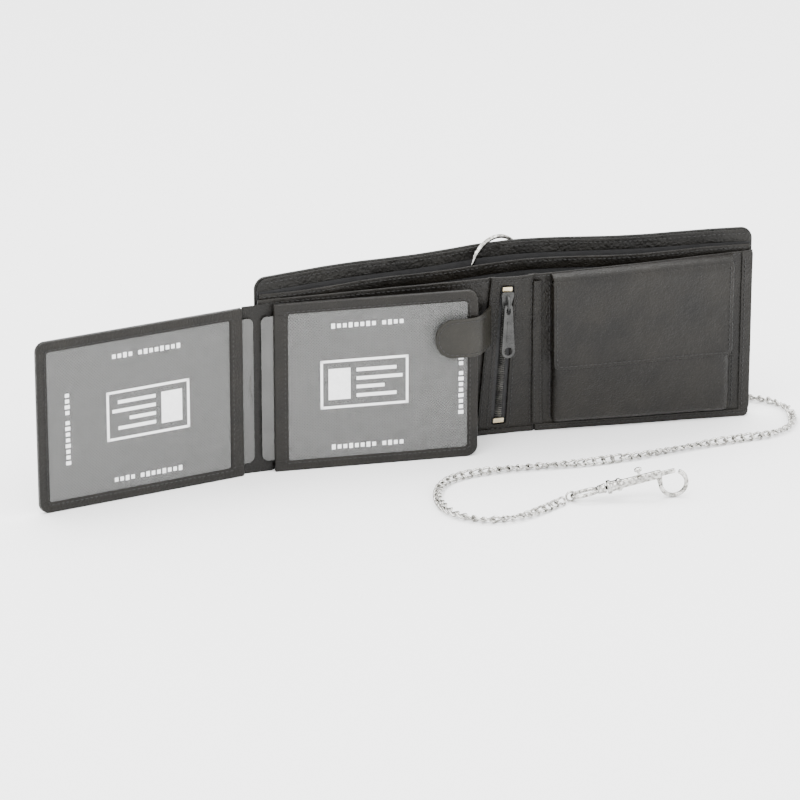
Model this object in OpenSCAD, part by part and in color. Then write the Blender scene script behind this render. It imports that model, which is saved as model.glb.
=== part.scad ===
// Chain wallet, standing open on its lower edge.
// Millimetres. +X runs along the spine to the right, -Y faces the open inside, +Z is up.
// The origin is the centre of the spine's foot.
// Lengths called u run along the cover from the middle of the spine, right is positive.
// Lengths called n stand off the cover towards the inside.

/* [Cover] */
// Height of the cover
cover_h = 99; // [94:1:110]
// Width of one half, from its fold line to its outer edge
half_w = 120; // [116:1:135]
// Width of the spine between the two fold lines
spine_w = 22; // [20:1:26]
// How far each half is turned in from a flat wallet, in degrees
half_turn = 8.25; // [6:0.25:9]
// Radius of the cover's outer corners
corner_r = 6; // [3:0.5:12]
// Thickness of the cover leather
cover_t = 1.6; // [1.2:0.1:1.6]

/* [Money pockets] */
// Height of the front panel
panel_h = 88; // [84:1:90]
// Height of the divider
divider_h = 91; // [90:1:93]
// How far the front panel gapes at the top of the spine
top_gape = 21.5; // [19:0.5:24]
// How far the front panel stands off at the foot of the spine
foot_gape = 3.5; // [3.5:0.1:4]
// How far the coin pocket's inner side leans over from foot to top
sway = 5.5; // [0:0.5:6]

/* [Coin pocket] */
// Distance from the spine's middle to the pocket's inner side
coin_u0 = 26; // [25:0.5:34]
// Distance from the wallet's outer edge to the pocket's outer side
coin_edge = 11.5; // [9:0.5:14]
// Height of the flap's lower edge
flap_z0 = 35.5; // [28:0.5:44]
// Height of the flap's fold
flap_z1 = 84.6; // [80:0.2:84.6]

/* [Zip] */
// Distance of the zip from the spine's middle
zip_u = -1.5; // [-2:0.1:-1]
// Width of the zip's opening
zip_w = 7.4; // [7:0.1:7.6]
// Lower and upper end of the zip's opening
zip_z = [5.5, 83.5]; // [5:0.5:83.5]

/* [Card window flap] */
// Height of a window leaf
leaf_h = 86; // [84:1:88]
// Width of the right leaf
leaf_r_w = 102; // [101:0.5:103]
// Width of the left leaf
leaf_l_w = 109; // [106:1:112]
// Width of the leather hinge between the leaves
hinge_w = 16; // [15.5:0.5:17]
// Size of an insert card, width and height
card_size = [105, 74]; // [70:1:105]

/* [Ring and chain] */
// Radius of the split ring, at the middle of its wire
ring_r = 15.5; // [15:0.25:16]
// Width of the chain
chain_w = 4.6; // [4:0.2:5]

/* [Hidden] */
$fn = 48;

// colours
black_leather = [0.10, 0.09, 0.09];
brown_leather = [0.17, 0.13, 0.11];
tab_leather = [0.24, 0.21, 0.19];
lining_cloth = [0.07, 0.07, 0.08];
mesh_cloth = [0.20, 0.19, 0.19];
nickel = [0.78, 0.78, 0.76];
dark_metal = [0.22, 0.21, 0.20];
brass = [0.72, 0.62, 0.42];
clear_card = [0.80, 0.82, 0.84];

// the stack of layers, as offsets from the cover towards the inside
end_u = spine_w / 2 + half_w;
cover_n = 0.6;
fold_gap = 0.8;
lining_n = [0.75, 1.35];
lining_gap = 1.6;
divider_n0 = 1.45;
divider_t = 0.8;
panel_n0 = 2.4;
panel_t = 1.2;
// clearance between two soft layers
slack = 0.15;
foot_h = 3;

// coin pocket, as offsets from the front panel's face
coin_u1 = end_u - coin_edge;
coin_d = [slack, 4.4];
coin_wall = 0.8;
flap_d = [5.6, 6.7];
snap_u = (coin_u0 + coin_u1) / 2;
snap_z = flap_z0 + 8;
// narrow strip between the spine and the coin pocket, sewn over the panel's joint
strip_u = [16, 21];

// zip
slider_z = zip_z[1] - 8;
puller_l = 26;

// leaves: the hinge strip lies in front of the wallet's left outer edge
hinge_mid = [-end_u + 1.0, -23.4];
hinge_turn = 1.5;
right_turn = -5;
left_turn = 10.6;
leaf_border = 5;
leaf_strip = 7;
card_out = 6;
frame_y = [-1.5, -0.8];
mesh_y = [-0.7, -0.4];
card_y = [-0.3, 0.3];
back_y = [0.45, 1.25];

// ring and eyelet
ring_z = cover_h + 3.2 - ring_r - 1;
ring_turn = 22;
ring_wire = [2.0, 1.8];
eyelet_z = ring_z - ring_r + 0.4;
eyelet_r = 6.8;

// tab: its plan runs from the zip's left side to the front of the right leaf
tab_path = [[-10.5, -21.8], [-15, -28], [-19.8, -34.2], [-26, -36.3], [-34, -35.7], [-43, -34.4]];
tab_z = [53, 73];
tab_t = 1.4;

// chain: from the ring down behind the spine, along the floor, round the right end, to the front
chain_z = chain_w / 2 + 0.05;
chain_route = [
  [10.6, 5.2, 70.8], [10.6, 6.4, 58], [11, 8, 42], [11.5, 9.5, 24], [14, 11, 11], [22, 11.5, 4.4],
  [34, 11.5, chain_z], [52, 10.5, chain_z], [72, 9.5, chain_z], [92, 8.8, chain_z],
  [112, 7.5, chain_z], [128, 4.5, chain_z], [141, -4, chain_z], [149, -17, chain_z],
  [148, -32, chain_z], [141, -46, chain_z], [128, -54, chain_z], [110, -56, chain_z],
  [88, -58, chain_z], [60, -62, chain_z], [32, -64, chain_z], [5, -62, chain_z],
  [-20, -60, chain_z], [-40, -63, chain_z], [-53, -73, chain_z], [-60, -90, chain_z],
  [-59, -108, chain_z], [-48, -121, chain_z], [-32, -123, chain_z], [-16, -117, chain_z],
  [-5, -110.5, chain_z]
];
chain_sides = 8;
// number of the route's point at which the chain's free end swings aside
chain_bend = 13;

// hook: its own frame has the jump ring's middle at the origin and the barrel along +X
hook_at = [1.5, -107.5, 2.7];
hook_heading = -11;
hook_rise = 12.5;

// ---------------------------------------------------------------- shape helpers

function ease(t) = let (c = min(max(t, 0), 1)) c * c * (3 - 2 * c);
function steps(a, b, count) = [for (k = [0:count]) a + (b - a) * k / count];

// point of the cover's middle line, seen from above
function plan(u) =
  let (s = max(abs(u) - spine_w / 2, 0))
  [sign(u) * (min(abs(u), spine_w / 2) + s * cos(half_turn)), -s * sin(half_turn)];
// direction in which layers stand off there
function lean(u) = half_turn * ease((abs(u) - 4) / 14);
function spot(u, n, z) =
  [plan(u)[0] - sign(u) * n * sin(lean(u)), plan(u)[1] - n * cos(lean(u)), z];

// the front panel gapes at its top, most at the spine and nothing at the side seams
function bulge(u) = 1 - pow(abs(u) / end_u, u > 0 ? 1.3 : 1.05);
function panel_n(u, z) =
  panel_n0 + bulge(u) * (foot_gape + (top_gape - foot_gape) * z / panel_h);
// sideways lean of what is sewn on the panel, strongest at the coin pocket's inner side
function lean_over(u) = sway * ease((u + 12) / 36) * (1 - u / end_u);
function on_panel(u, z, d) = spot(u - lean_over(u) * (z / panel_h - 0.5), panel_n(u, z) + panel_t + d, z);
function divider_n(u, z) =
  divider_n0 + (1 - pow(abs(u) / end_u, 3)) * (1.6 + 4.2 * z / divider_h);

function arc(centre, r, a0, a1) =
  r <= 0 ? [centre] : [for (k = [0:6]) centre + r * [cos(a0 + (a1 - a0) * k / 6), sin(a0 + (a1 - a0) * k / 6)]];
// a rectangle whose left corners have radius ra and right corners rb
function rounded(x0, x1, y0, y1, ra, rb) = concat(
  arc([x1 - rb, y1 - rb], rb, 0, 90), arc([x0 + ra, y1 - ra], ra, 90, 180),
  arc([x0 + ra, y0 + ra], ra, 180, 270), arc([x1 - rb, y0 + rb], rb, 270, 360));

// a closed sheet between two surfaces, each a function of u and z
module sheet(us, zs, front, back) {
  nu = len(us);
  nz = len(zs);
  far = nu * nz;
  points = [
    for (z = zs) for (u = us) front(u, z),
    for (z = zs) for (u = us) back(u, z)
  ];
  polyhedron(points, [
    for (k = [0:nz - 2]) for (i = [0:nu - 2]) let (a = k * nu + i) each [
      [a, a + nu, a + nu + 1], [a, a + nu + 1, a + 1],
      [far + a, far + a + nu + 1, far + a + nu], [far + a, far + a + 1, far + a + nu + 1]
    ],
    for (i = [0:nu - 2]) let (a = i, b = (nz - 1) * nu + i) each [
      [a, a + 1, far + a + 1, far + a], [b, far + b, far + b + 1, b + 1]
    ],
    for (k = [0:nz - 2]) let (a = k * nu, b = k * nu + nu - 1) each [
      [a, far + a, far + a + nu, a + nu], [b, b + nu, far + b + nu, far + b]
    ]
  ]);
}
// a sheet that lies on the front panel, from offset d0 to offset d1 of its face
module panel_sheet(us, zs, d0, d1) {
  sheet(us, zs, function(u, z) on_panel(u, z, d1), function(u, z) on_panel(u, z, d0));
}
// an outline drawn in x and z, thickened from y0 to y1
module upright(points, y0, y1) {
  translate([0, y1, 0]) rotate([90, 0, 0]) linear_extrude(y1 - y0) polygon(points);
}
// the frame of one half: x runs outwards from the fold line, -y is the inside
module on_half(side) {
  mirror([side < 0 ? 1 : 0, 0, 0])
    translate([spine_w / 2, 0, 0]) rotate([0, 0, -half_turn]) children();
}
module on_right_leaf() {
  translate([hinge_mid[0] + hinge_w / 2 * cos(hinge_turn), hinge_mid[1] + hinge_w / 2 * sin(hinge_turn), 0])
    rotate([0, 0, right_turn]) children();
}
module on_left_leaf() {
  translate([hinge_mid[0] - hinge_w / 2 * cos(hinge_turn), hinge_mid[1] - hinge_w / 2 * sin(hinge_turn), 0])
    rotate([0, 0, left_turn]) mirror([1, 0, 0]) children();
}
module on_hook() {
  translate(hook_at) rotate([0, 0, hook_heading]) rotate([0, -hook_rise, 0]) children();
}
// a round bar along +x
module bar(x0, x1, r) {
  translate([x0, 0, 0]) rotate([0, 90, 0]) cylinder(h = x1 - x0, r = r);
}

// ---------------------------------------------------------------- cover and lining

module half_plate(side, x0, height, n0, n1, r) {
  on_half(side) upright(rounded(x0, half_w, 0, height, 0, r), -n1, -n0);
}
module eyelet_bore(r) {
  translate([0, 10, eyelet_z]) rotate([90, 0, 0]) cylinder(h = 20, r = r);
}
module cover_spine() {
  color(black_leather) difference() {
    translate([-spine_w / 2 + fold_gap, -cover_n, 0])
      cube([spine_w - 2 * fold_gap, cover_t, cover_h]);
    eyelet_bore(eyelet_r + 0.9);
  }
}
module cover_left() {
  color(black_leather) half_plate(-1, fold_gap, cover_h, cover_n - cover_t, cover_n, corner_r);
}
module cover_right() {
  color(black_leather) half_plate(1, fold_gap, cover_h, cover_n - cover_t, cover_n, corner_r);
}
module lining_spine() {
  color(lining_cloth) difference() {
    translate([-spine_w / 2 + lining_gap, -lining_n[1], 0.4])
      cube([spine_w - 2 * lining_gap, lining_n[1] - lining_n[0], cover_h - 1.4]);
    eyelet_bore(eyelet_r + 2.8);
  }
}
module lining_half(side) {
  color(lining_cloth) on_half(side)
    upright(rounded(lining_gap, half_w - 1, 0.4, cover_h - 1, 0, corner_r - 1), -lining_n[1], -lining_n[0]);
}
module lining_left() {
  lining_half(-1);
}
module lining_right() {
  lining_half(1);
}
module eyelet() {
  flange = 0.45;
  color(nickel) translate([0, 0, eyelet_z]) rotate([90, 0, 0]) rotate_extrude() polygon([
    [eyelet_r, -cover_t + cover_n - flange], [eyelet_r + 2.4, -cover_t + cover_n - flange],
    [eyelet_r + 2.4, -cover_t + cover_n - 0.02], [eyelet_r + 0.8, -cover_t + cover_n - 0.02],
    [eyelet_r + 0.8, cover_n + 0.02], [eyelet_r + 2.6, cover_n + 0.02],
    [eyelet_r + 2.6, cover_n + flange], [eyelet_r, cover_n + flange]
  ]);
}

// ---------------------------------------------------------------- divider and front panel

// where the sheets are cut at a fold, and how finely they follow their curve
fold_u = spine_w / 2;
spine_us = steps(-fold_u + 0.5, fold_u - 0.5, 6);
right_us = concat(steps(fold_u + 0.5, 100, 10), steps(106, end_u - 0.3, 4));
left_us = [for (k = [len(right_us) - 1:-1:0]) -right_us[k]];

module divider(us) {
  color(lining_cloth)
    sheet(us, steps(foot_h + 0.2, divider_h, 3),
      function(u, z) spot(u, divider_n(u, z) + divider_t, z), function(u, z) spot(u, divider_n(u, z), z));
}
module divider_spine() {
  divider(spine_us);
}
module divider_left() {
  divider(left_us);
}
module divider_right() {
  divider(right_us);
}
module front_panel(us) {
  color(brown_leather) panel_sheet(us, steps(0, panel_h, 3), -panel_t, 0);
}
module front_panel_spine() {
  difference() {
    front_panel(spine_us);
    translate([zip_u - zip_w / 2, -40, zip_z[0]]) cube([zip_w, 40, zip_z[1] - zip_z[0]]);
  }
}
module front_panel_left() {
  front_panel(left_us);
}
module front_panel_right() {
  front_panel(right_us);
}
// the layers are sewn through a thin leather filler along the foot
module foot_welt(us) {
  color(black_leather)
    sheet(us, [0.2, foot_h], function(u, z) spot(u, panel_n(u, z) - 0.1, z), function(u, z) spot(u, lining_n[1] + 0.1, z));
}
module foot_welt_spine() {
  foot_welt(steps(-fold_u + 4, fold_u - 4, 4));
}
module foot_welt_left() {
  foot_welt([for (u = left_us) if (u < -fold_u - 4) u]);
}
module foot_welt_right() {
  foot_welt([for (u = right_us) if (u > fold_u + 4) u]);
}

// ---------------------------------------------------------------- right half: slot and coin pocket

module card_slot_strip() {
  color(brown_leather) panel_sheet(steps(strip_u[0], strip_u[1], 2), steps(4.5, 84, 3), slack, 1.0);
}
module coin_pocket() {
  us = steps(coin_u0, coin_u1, 8);
  inner = steps(coin_u0 + coin_wall, coin_u1 - coin_wall, 8);
  color(brown_leather) difference() {
    panel_sheet(us, steps(4.5, flap_z1 - 2, 3), coin_d[0], coin_d[1]);
    panel_sheet(inner, steps(6, flap_z1 + 2, 3), coin_d[0] + coin_wall, coin_d[1] - coin_wall);
  }
}
// the flap's sewn end, above the pocket's mouth
module coin_pocket_top_welt() {
  color(brown_leather) panel_sheet(steps(coin_u0, coin_u1, 8), [flap_z1 + 0.4, flap_z1 + 2.4], slack, flap_d[1]);
}
module coin_flap() {
  color(brown_leather) panel_sheet(steps(coin_u0, coin_u1, 8), steps(flap_z0, flap_z1, 3), flap_d[0], flap_d[1]);
}
// a disc that lies on the front panel, from offset d0 to offset d1 of its face
module panel_disc(u, z, r, d0, d1) {
  along = on_panel(u + 1, z, 0) - on_panel(u - 1, z, 0);
  translate(on_panel(u, z, 0)) rotate([0, 0, atan2(along[1], along[0])])
    rotate([90 + atan(panel_n(u, z + 1) - panel_n(u, z)), 0, 0])
    translate([0, 0, d0]) cylinder(h = d1 - d0, r = r);
}
// the hidden snap: one half on the pocket's face, the other under the flap
module coin_snap_stud() {
  color(nickel) panel_disc(snap_u, snap_z, 4.5, coin_d[1] + 0.1, coin_d[1] + 0.55);
}
module coin_snap_cap() {
  color(dark_metal) panel_disc(snap_u, snap_z, 5, flap_d[0] - 0.55, flap_d[0] - 0.15);
}

// ---------------------------------------------------------------- zip

tape_d = [-panel_t - 0.75, -panel_t - 0.25];
coil_w = 2.4;
module zip_tape(side) {
  u0 = zip_u + side * coil_w / 2 + side * 0.1;
  u1 = zip_u + side * (zip_w / 2 + 1.4);
  color(black_leather)
    panel_sheet([min(u0, u1), max(u0, u1)], steps(zip_z[0] - 1, zip_z[1] + 1, 3), tape_d[0], tape_d[1]);
}
module zip_tape_left() {
  zip_tape(-1);
}
module zip_tape_right() {
  zip_tape(1);
}
module zip_coil() {
  color(dark_metal)
    panel_sheet([zip_u - coil_w / 2, zip_u + coil_w / 2], steps(zip_z[0], zip_z[1], 3), tape_d[0] - 0.1, tape_d[1] + 0.6);
}
// broad clips across the coil, one at each end
stop_size = [5.6, 2.6];
module zip_stops() {
  color(brass) for (z = [zip_z[0] + 0.8, zip_z[1] - 3])
    translate(on_panel(zip_u, z, tape_d[1] + 0.75)) rotate([slider_tilt, 0, 0])
      translate([-stop_size[0] / 2, -1, 0]) cube([stop_size[0], 1, stop_size[1]]);
}
// a flat cloth bag behind the zip
function bag_depth(z) = 0.8 + 4 * z / panel_h;
module zip_pocket_bag() {
  wall = 0.25;
  us = [-fold_u + 1, fold_u - 3.5];
  inner = [us[0] + wall, us[1] - wall];
  back = tape_d[0] - 0.35;
  color(lining_cloth) difference() {
    sheet(us, steps(zip_z[0] - 2, zip_z[1] + 3, 3),
      function(u, z) on_panel(u, z, back), function(u, z) on_panel(u, z, back - bag_depth(z)));
    sheet(inner, steps(zip_z[0] - 2 + wall, zip_z[1] + 3 - wall, 3),
      function(u, z) on_panel(u, z, back - wall), function(u, z) on_panel(u, z, back + wall - bag_depth(z)));
    translate([zip_u - coil_w, -40, zip_z[0]]) cube([2 * coil_w, 40 - 14, zip_z[1] - zip_z[0]]);
  }
}
// the slider clasps the coil from the front; its loop holds the puller
slider_tilt = atan(panel_n(zip_u, slider_z + 1) - panel_n(zip_u, slider_z));
module on_slider() {
  translate(on_panel(zip_u, slider_z, -0.6)) rotate([slider_tilt, 0, 0]) children();
}
pin_y = -3.2;
pin_z = -2.8;
module zip_slider() {
  color(dark_metal) on_slider() {
    upright(concat([[-2.2, -5], [2.2, -5]], arc([1.5, 3.4], 1.5, 0, 90), arc([-1.5, 3.4], 1.5, 90, 180)), -1.6, 0);
    for (side = [-1, 1]) translate([side * 1.6 - 0.5, pin_y - 0.9, pin_z - 1.2]) cube([1.0, 2.6, 2.4]);
    translate([-1.6, pin_y, pin_z]) bar(0, 3.2, 0.55);
  }
}
// a tapered plate that hangs straight down from the slider's pin
module zip_puller() {
  neck = 2.5;
  foot = 3.5;
  hole_r = 2.4;
  color(dark_metal) on_slider() translate([0, pin_y, pin_z]) rotate([-slider_tilt, 0, 0]) difference() {
    union() {
      upright(concat(
        [[-0.9, 1.4], [-0.9, -2], [-neck, -3.6]], arc([0, -puller_l + foot], foot, 180, 270),
        arc([0, -puller_l + foot], foot, 270, 360), [[neck, -3.6], [0.9, -2], [0.9, 1.4]]), -0.5, 0.5);
      bar(-0.9, 0.9, 1.4);
    }
    bar(-2, 2, 0.65);
    translate([0, 5, -puller_l + foot]) rotate([90, 0, 0]) cylinder(h = 10, r = hole_r);
  }
}

// ---------------------------------------------------------------- latch tab

function side_step(points, i) =
  let (a = points[max(i - 1, 0)], b = points[min(i + 1, len(points) - 1)], d = (b - a) / norm(b - a)) [-d[1], d[0]];
function ribbon(points, t) = concat(
  [for (i = [0:len(points) - 1]) points[i] + side_step(points, i) * t / 2],
  [for (i = [len(points) - 1:-1:0]) points[i] - side_step(points, i) * t / 2]);
tab_r = (tab_z[1] - tab_z[0]) / 2;
tab_end = tab_path[len(tab_path) - 1];
module latch_tab() {
  color(tab_leather) intersection() {
    translate([0, 0, tab_z[0]]) linear_extrude(tab_z[1] - tab_z[0]) polygon(ribbon(tab_path, tab_t));
    upright(rounded(tab_end[0], 0, tab_z[0], tab_z[1], tab_r, 0), -60, 0);
  }
}
module tab_snap_socket() {
  at = tab_path[4];
  color(dark_metal) translate([at[0], at[1] + tab_t / 2 + 0.35, (tab_z[0] + tab_z[1]) / 2])
    rotate([-90, 0, -6.4]) cylinder(h = 1.2, r = 5);
}

// ---------------------------------------------------------------- card window flap

module leaf_back(w) {
  color(black_leather) upright(rounded(0, w, 0, leaf_h, 0, 5), back_y[0], back_y[1]);
}
function window(w) = rounded(leaf_strip, w - leaf_border, leaf_border, leaf_h - leaf_border, 2, 2);
// front border with the window cut out, and a rim on three sides that holds the card in
module leaf_frame(w) {
  rim = 1.5;
  color(brown_leather) difference() {
    upright(rounded(0, w, 0, leaf_h, 0, 5), frame_y[0], back_y[0] - 0.05);
    upright(window(w), frame_y[0] - 1, mesh_y[0]);
    upright(rounded(-1, w - rim, rim, leaf_h - rim, 0, 4), frame_y[1], back_y[0] + 1);
  }
}
module leaf_mesh(w) {
  color(mesh_cloth) upright(rounded(1, w - 2, 2, leaf_h - 2, 0, 3), mesh_y[0], mesh_y[1]);
}
module insert_card() {
  low = (leaf_h - card_size[1]) / 2;
  color(clear_card)
    upright(rounded(-card_out, card_size[0] - card_out, low, low + card_size[1], 3, 3), card_y[0], card_y[1]);
}
module right_leaf_back() {
  on_right_leaf() leaf_back(leaf_r_w);
}
module right_leaf_frame() {
  on_right_leaf() leaf_frame(leaf_r_w);
}
module right_leaf_mesh() {
  on_right_leaf() leaf_mesh(leaf_r_w);
}
module right_insert_card() {
  on_right_leaf() insert_card();
}
module left_leaf_back() {
  on_left_leaf() leaf_back(leaf_l_w);
}
module left_leaf_frame() {
  on_left_leaf() leaf_frame(leaf_l_w);
}
module left_leaf_mesh() {
  on_left_leaf() leaf_mesh(leaf_l_w);
}
module left_insert_card() {
  on_left_leaf() insert_card();
}
module leaf_snap_stud() {
  color(dark_metal) on_left_leaf()
    translate([leaf_l_w - 12, back_y[1] + 0.02, (tab_z[0] + tab_z[1]) / 2]) rotate([-90, 0, 0]) {
      cylinder(h = 0.7, r = 5);
      cylinder(h = 2, r = 1.9);
    }
}
// leather strip that carries both leaves, behind the ends of the cards
hinge_y = [1.5, 2.1];
module flap_hinge() {
  color(brown_leather) translate([hinge_mid[0], hinge_mid[1], 0]) rotate([0, 0, hinge_turn])
    translate([-hinge_w / 2 + 0.6, hinge_y[0], 0]) cube([hinge_w - 1.2, hinge_y[1] - hinge_y[0], leaf_h]);
}
// binding along the wallet's left outer edge, which the strip is sewn to
module flap_edge_welt() {
  edge = spot(-end_u, 0, 0);
  front_at = hinge_mid[1] + hinge_y[1] + 0.3;
  color(brown_leather) translate([edge[0] - 1.7, front_at, 2])
    cube([1.5, edge[1] - front_at, leaf_h - 6]);
}

// ---------------------------------------------------------------- ring, chain and hook

// two turns of wire side by side, passed through the eyelet and over the cover's top edge
module split_ring() {
  color(nickel) translate([0, 0, ring_z]) rotate([0, 0, ring_turn]) rotate([90, 0, 0])
    rotate_extrude($fn = 96) translate([ring_r, 0])
      polygon(rounded(-ring_wire[0] / 2, ring_wire[0] / 2, -ring_wire[1] / 2, ring_wire[1] / 2, 0.6, 0.6));
}

// the chain's solid is a tube along its route
function hermite(a, b, ta, tb, t) =
  (2 * pow(t, 3) - 3 * t * t + 1) * a + (pow(t, 3) - 2 * t * t + t) * ta
  + (-2 * pow(t, 3) + 3 * t * t) * b + (pow(t, 3) - t * t) * tb;
function slope(points, i) = (points[min(i + 1, len(points) - 1)] - points[max(i - 1, 0)]) / 2;
function smooth(points, parts) = concat(
  [for (i = [0:len(points) - 2]) for (k = [0:parts - 1])
    hermite(points[i], points[i + 1], slope(points, i), slope(points, i + 1), k / parts)],
  [points[len(points) - 1]]);
function unit(v) = v / norm(v);
// the stretch of a round tube from point number first to point number last
module tube(points, first, last, r, sides) {
  count = last - first + 1;
  rings = [for (i = [first:last])
    let (d = unit(points[min(i + 1, len(points) - 1)] - points[max(i - 1, 0)]),
         flat = unit(cross([0.3, 0.2, 1], d)), tall = cross(d, flat))
    for (k = [0:sides - 1]) let (a = (k + 0.5) * 360 / sides) points[i] + r * (cos(a) * flat + sin(a) * tall)];
  polyhedron(rings, concat(
    [for (i = [0:count - 2]) for (k = [0:sides - 1]) let (a = i * sides + k, b = i * sides + (k + 1) % sides)
      each [[a, a + sides, b], [b, a + sides, b + sides]]],
    [[for (k = [0:sides - 1]) k], [for (k = [sides - 1:-1:0]) (count - 1) * sides + k]]));
}
chain_line = smooth(chain_route, 2);
module chain_ring_end() {
  color(nickel) tube(chain_line, 0, 2 * chain_bend, chain_w / 2, chain_sides);
}
module chain_hook_end() {
  color(nickel) tube(chain_line, 2 * chain_bend, len(chain_line) - 1, chain_w / 2, chain_sides);
}

// an oval ring in the x-y plane, from a wire of radius r
module oval_ring(length, width, r) {
  mid_r = width / 2 - r;
  reach = length / 2 - width / 2;
  for (side = [-1, 1]) {
    translate([side * reach, 0, 0]) rotate([0, 0, side > 0 ? -90 : 90])
      rotate_extrude(angle = 180) translate([mid_r, 0]) circle(r = r, $fn = 24);
    if (reach > 0) translate([-reach, side * mid_r, 0]) rotate([0, 90, 0]) cylinder(h = 2 * reach, r = r, $fn = 24);
  }
}
module jump_ring() {
  color(nickel) translate(hook_at) rotate([90, 0, hook_heading + 4])
    rotate_extrude() translate([2.0, 0]) circle(r = 0.6, $fn = 24);
}

// distances along the hook's axis from the jump ring
eye_x = [-1.3, 14];
collar_x = [14.3, 23.5];
barrel_x = [24.5, 44.6];
barrel_r = 2.1;
bolt_r = 1.2;
bolt_tip = 51.5;
loop_wire = 1.0;
knob_x = 34;
knob_slot = [knob_x - 7, knob_x + 0.9];
module hook_swivel_eye() {
  color(nickel) on_hook() {
    translate([(eye_x[0] + eye_x[1]) / 2 + 0.4, 0, 0]) oval_ring(eye_x[1] - eye_x[0], 8, 0.9);
    bar(eye_x[1] - 1.1, collar_x[0] + 2.6, 1.9);
    bar(collar_x[0] + 2.5, collar_x[1] + 2.5, 0.9);
    bar(collar_x[1] + 2.4, collar_x[1] + 3.4, 1.3);
  }
}
// collars, barrel and the round loop that the bolt closes
module hook_body() {
  color(nickel) on_hook() {
    difference() {
      union() {
        bar(collar_x[0] + 3.2, collar_x[0] + 5.4, 3.4);
        bar(collar_x[0] + 5.3, collar_x[1] - 0.8, 2.6);
        bar(collar_x[1] - 0.9, collar_x[1] + 1.1, 3.1);
        bar(collar_x[1], barrel_x[1], barrel_r);
        translate([loop_mid[0] - loop_r, 0, loop_mid[1]]) cylinder(h = -loop_mid[1] - 1.6, r = loop_wire + 0.2);
      }
      bar(collar_x[0] + 3, collar_x[1] + 2, 1.0);
      bar(collar_x[1] + 1.5, barrel_x[1] + 4, bolt_r + 0.15);
      translate([knob_slot[0], -0.75, 0]) cube([knob_slot[1] - knob_slot[0], 1.5, 4]);
      translate([collar_x[1] + 2.2, 0, 0]) bar(0, 1.6, 1.45);
    }
    hook_loop();
  }
}
// the loop runs from under the barrel round to the bolt's tip
loop_r = 6.3;
loop_mid = [49.5, -loop_r + 0.2];
module hook_loop() {
  translate([loop_mid[0], 0, loop_mid[1]]) rotate([90, 0, 0])
    rotate([0, 0, 176]) rotate_extrude(angle = 220) translate([loop_r, 0]) circle(r = loop_wire, $fn = 24);
}
module hook_bolt() {
  color(nickel) on_hook() {
    bar(knob_x - 0.8, bolt_tip, bolt_r);
    translate([knob_x, 0, 0]) cylinder(h = 4.6, r = 0.6, $fn = 24);
    translate([knob_x, 0, 4.4]) rotate_extrude() polygon(concat([[0, 0]], arc([1.9, 0.8], 0.8, -90, 90), [[0, 1.6]]));
  }
}
module hook_spring() {
  color(nickel) on_hook() difference() {
    bar(collar_x[1] + 4, knob_x - 1, 1.15);
    bar(collar_x[1] + 3, knob_x, 0.75);
  }
}

// ---------------------------------------------------------------- the nodes

cover_spine();
cover_left();
cover_right();
lining_spine();
lining_left();
lining_right();
divider_spine();
divider_left();
divider_right();
front_panel_spine();
front_panel_left();
front_panel_right();
foot_welt_spine();
foot_welt_left();
foot_welt_right();
card_slot_strip();
coin_pocket();
coin_pocket_top_welt();
coin_flap();
coin_snap_stud();
coin_snap_cap();
zip_tape_left();
zip_tape_right();
zip_coil();
zip_stops();
zip_pocket_bag();
zip_slider();
zip_puller();
latch_tab();
tab_snap_socket();
leaf_snap_stud();
flap_edge_welt();
flap_hinge();
right_leaf_back();
right_leaf_frame();
right_leaf_mesh();
right_insert_card();
left_leaf_back();
left_leaf_frame();
left_leaf_mesh();
left_insert_card();
eyelet();
split_ring();
chain_ring_end();
chain_hook_end();
jump_ring();
hook_swivel_eye();
hook_body();
hook_bolt();
hook_spring();
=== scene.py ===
import bpy
import bmesh
import math
import numpy as np
from mathutils import Matrix, Vector


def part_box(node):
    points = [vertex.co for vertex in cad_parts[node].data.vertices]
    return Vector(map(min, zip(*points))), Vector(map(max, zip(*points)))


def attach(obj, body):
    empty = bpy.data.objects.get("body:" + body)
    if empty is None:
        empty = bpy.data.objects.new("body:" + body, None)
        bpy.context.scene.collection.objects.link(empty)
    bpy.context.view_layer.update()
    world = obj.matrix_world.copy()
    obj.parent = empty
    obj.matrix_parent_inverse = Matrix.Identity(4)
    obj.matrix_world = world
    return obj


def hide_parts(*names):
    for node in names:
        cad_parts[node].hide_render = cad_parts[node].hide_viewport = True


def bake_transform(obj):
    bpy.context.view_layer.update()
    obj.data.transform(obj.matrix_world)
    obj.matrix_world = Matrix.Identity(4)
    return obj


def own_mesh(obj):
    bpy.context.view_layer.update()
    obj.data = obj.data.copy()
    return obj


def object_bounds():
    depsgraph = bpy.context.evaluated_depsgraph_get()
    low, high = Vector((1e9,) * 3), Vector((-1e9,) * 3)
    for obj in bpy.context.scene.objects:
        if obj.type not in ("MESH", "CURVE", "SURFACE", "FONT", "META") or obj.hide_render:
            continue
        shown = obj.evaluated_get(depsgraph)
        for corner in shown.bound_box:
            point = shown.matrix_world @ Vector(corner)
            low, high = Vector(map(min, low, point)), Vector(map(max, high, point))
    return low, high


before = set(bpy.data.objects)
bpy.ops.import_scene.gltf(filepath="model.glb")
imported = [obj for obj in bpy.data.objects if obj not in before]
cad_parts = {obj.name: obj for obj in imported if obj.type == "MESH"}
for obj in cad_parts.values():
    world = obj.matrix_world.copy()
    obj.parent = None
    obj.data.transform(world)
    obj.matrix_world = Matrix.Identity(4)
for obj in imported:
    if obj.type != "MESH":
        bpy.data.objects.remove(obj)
cad_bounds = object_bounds()
MM = 0.001
rng = np.random.default_rng(7)


def radians(degrees):
    return math.radians(degrees)


# ---------------------------------------------------------------- camera, floor and light

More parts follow.
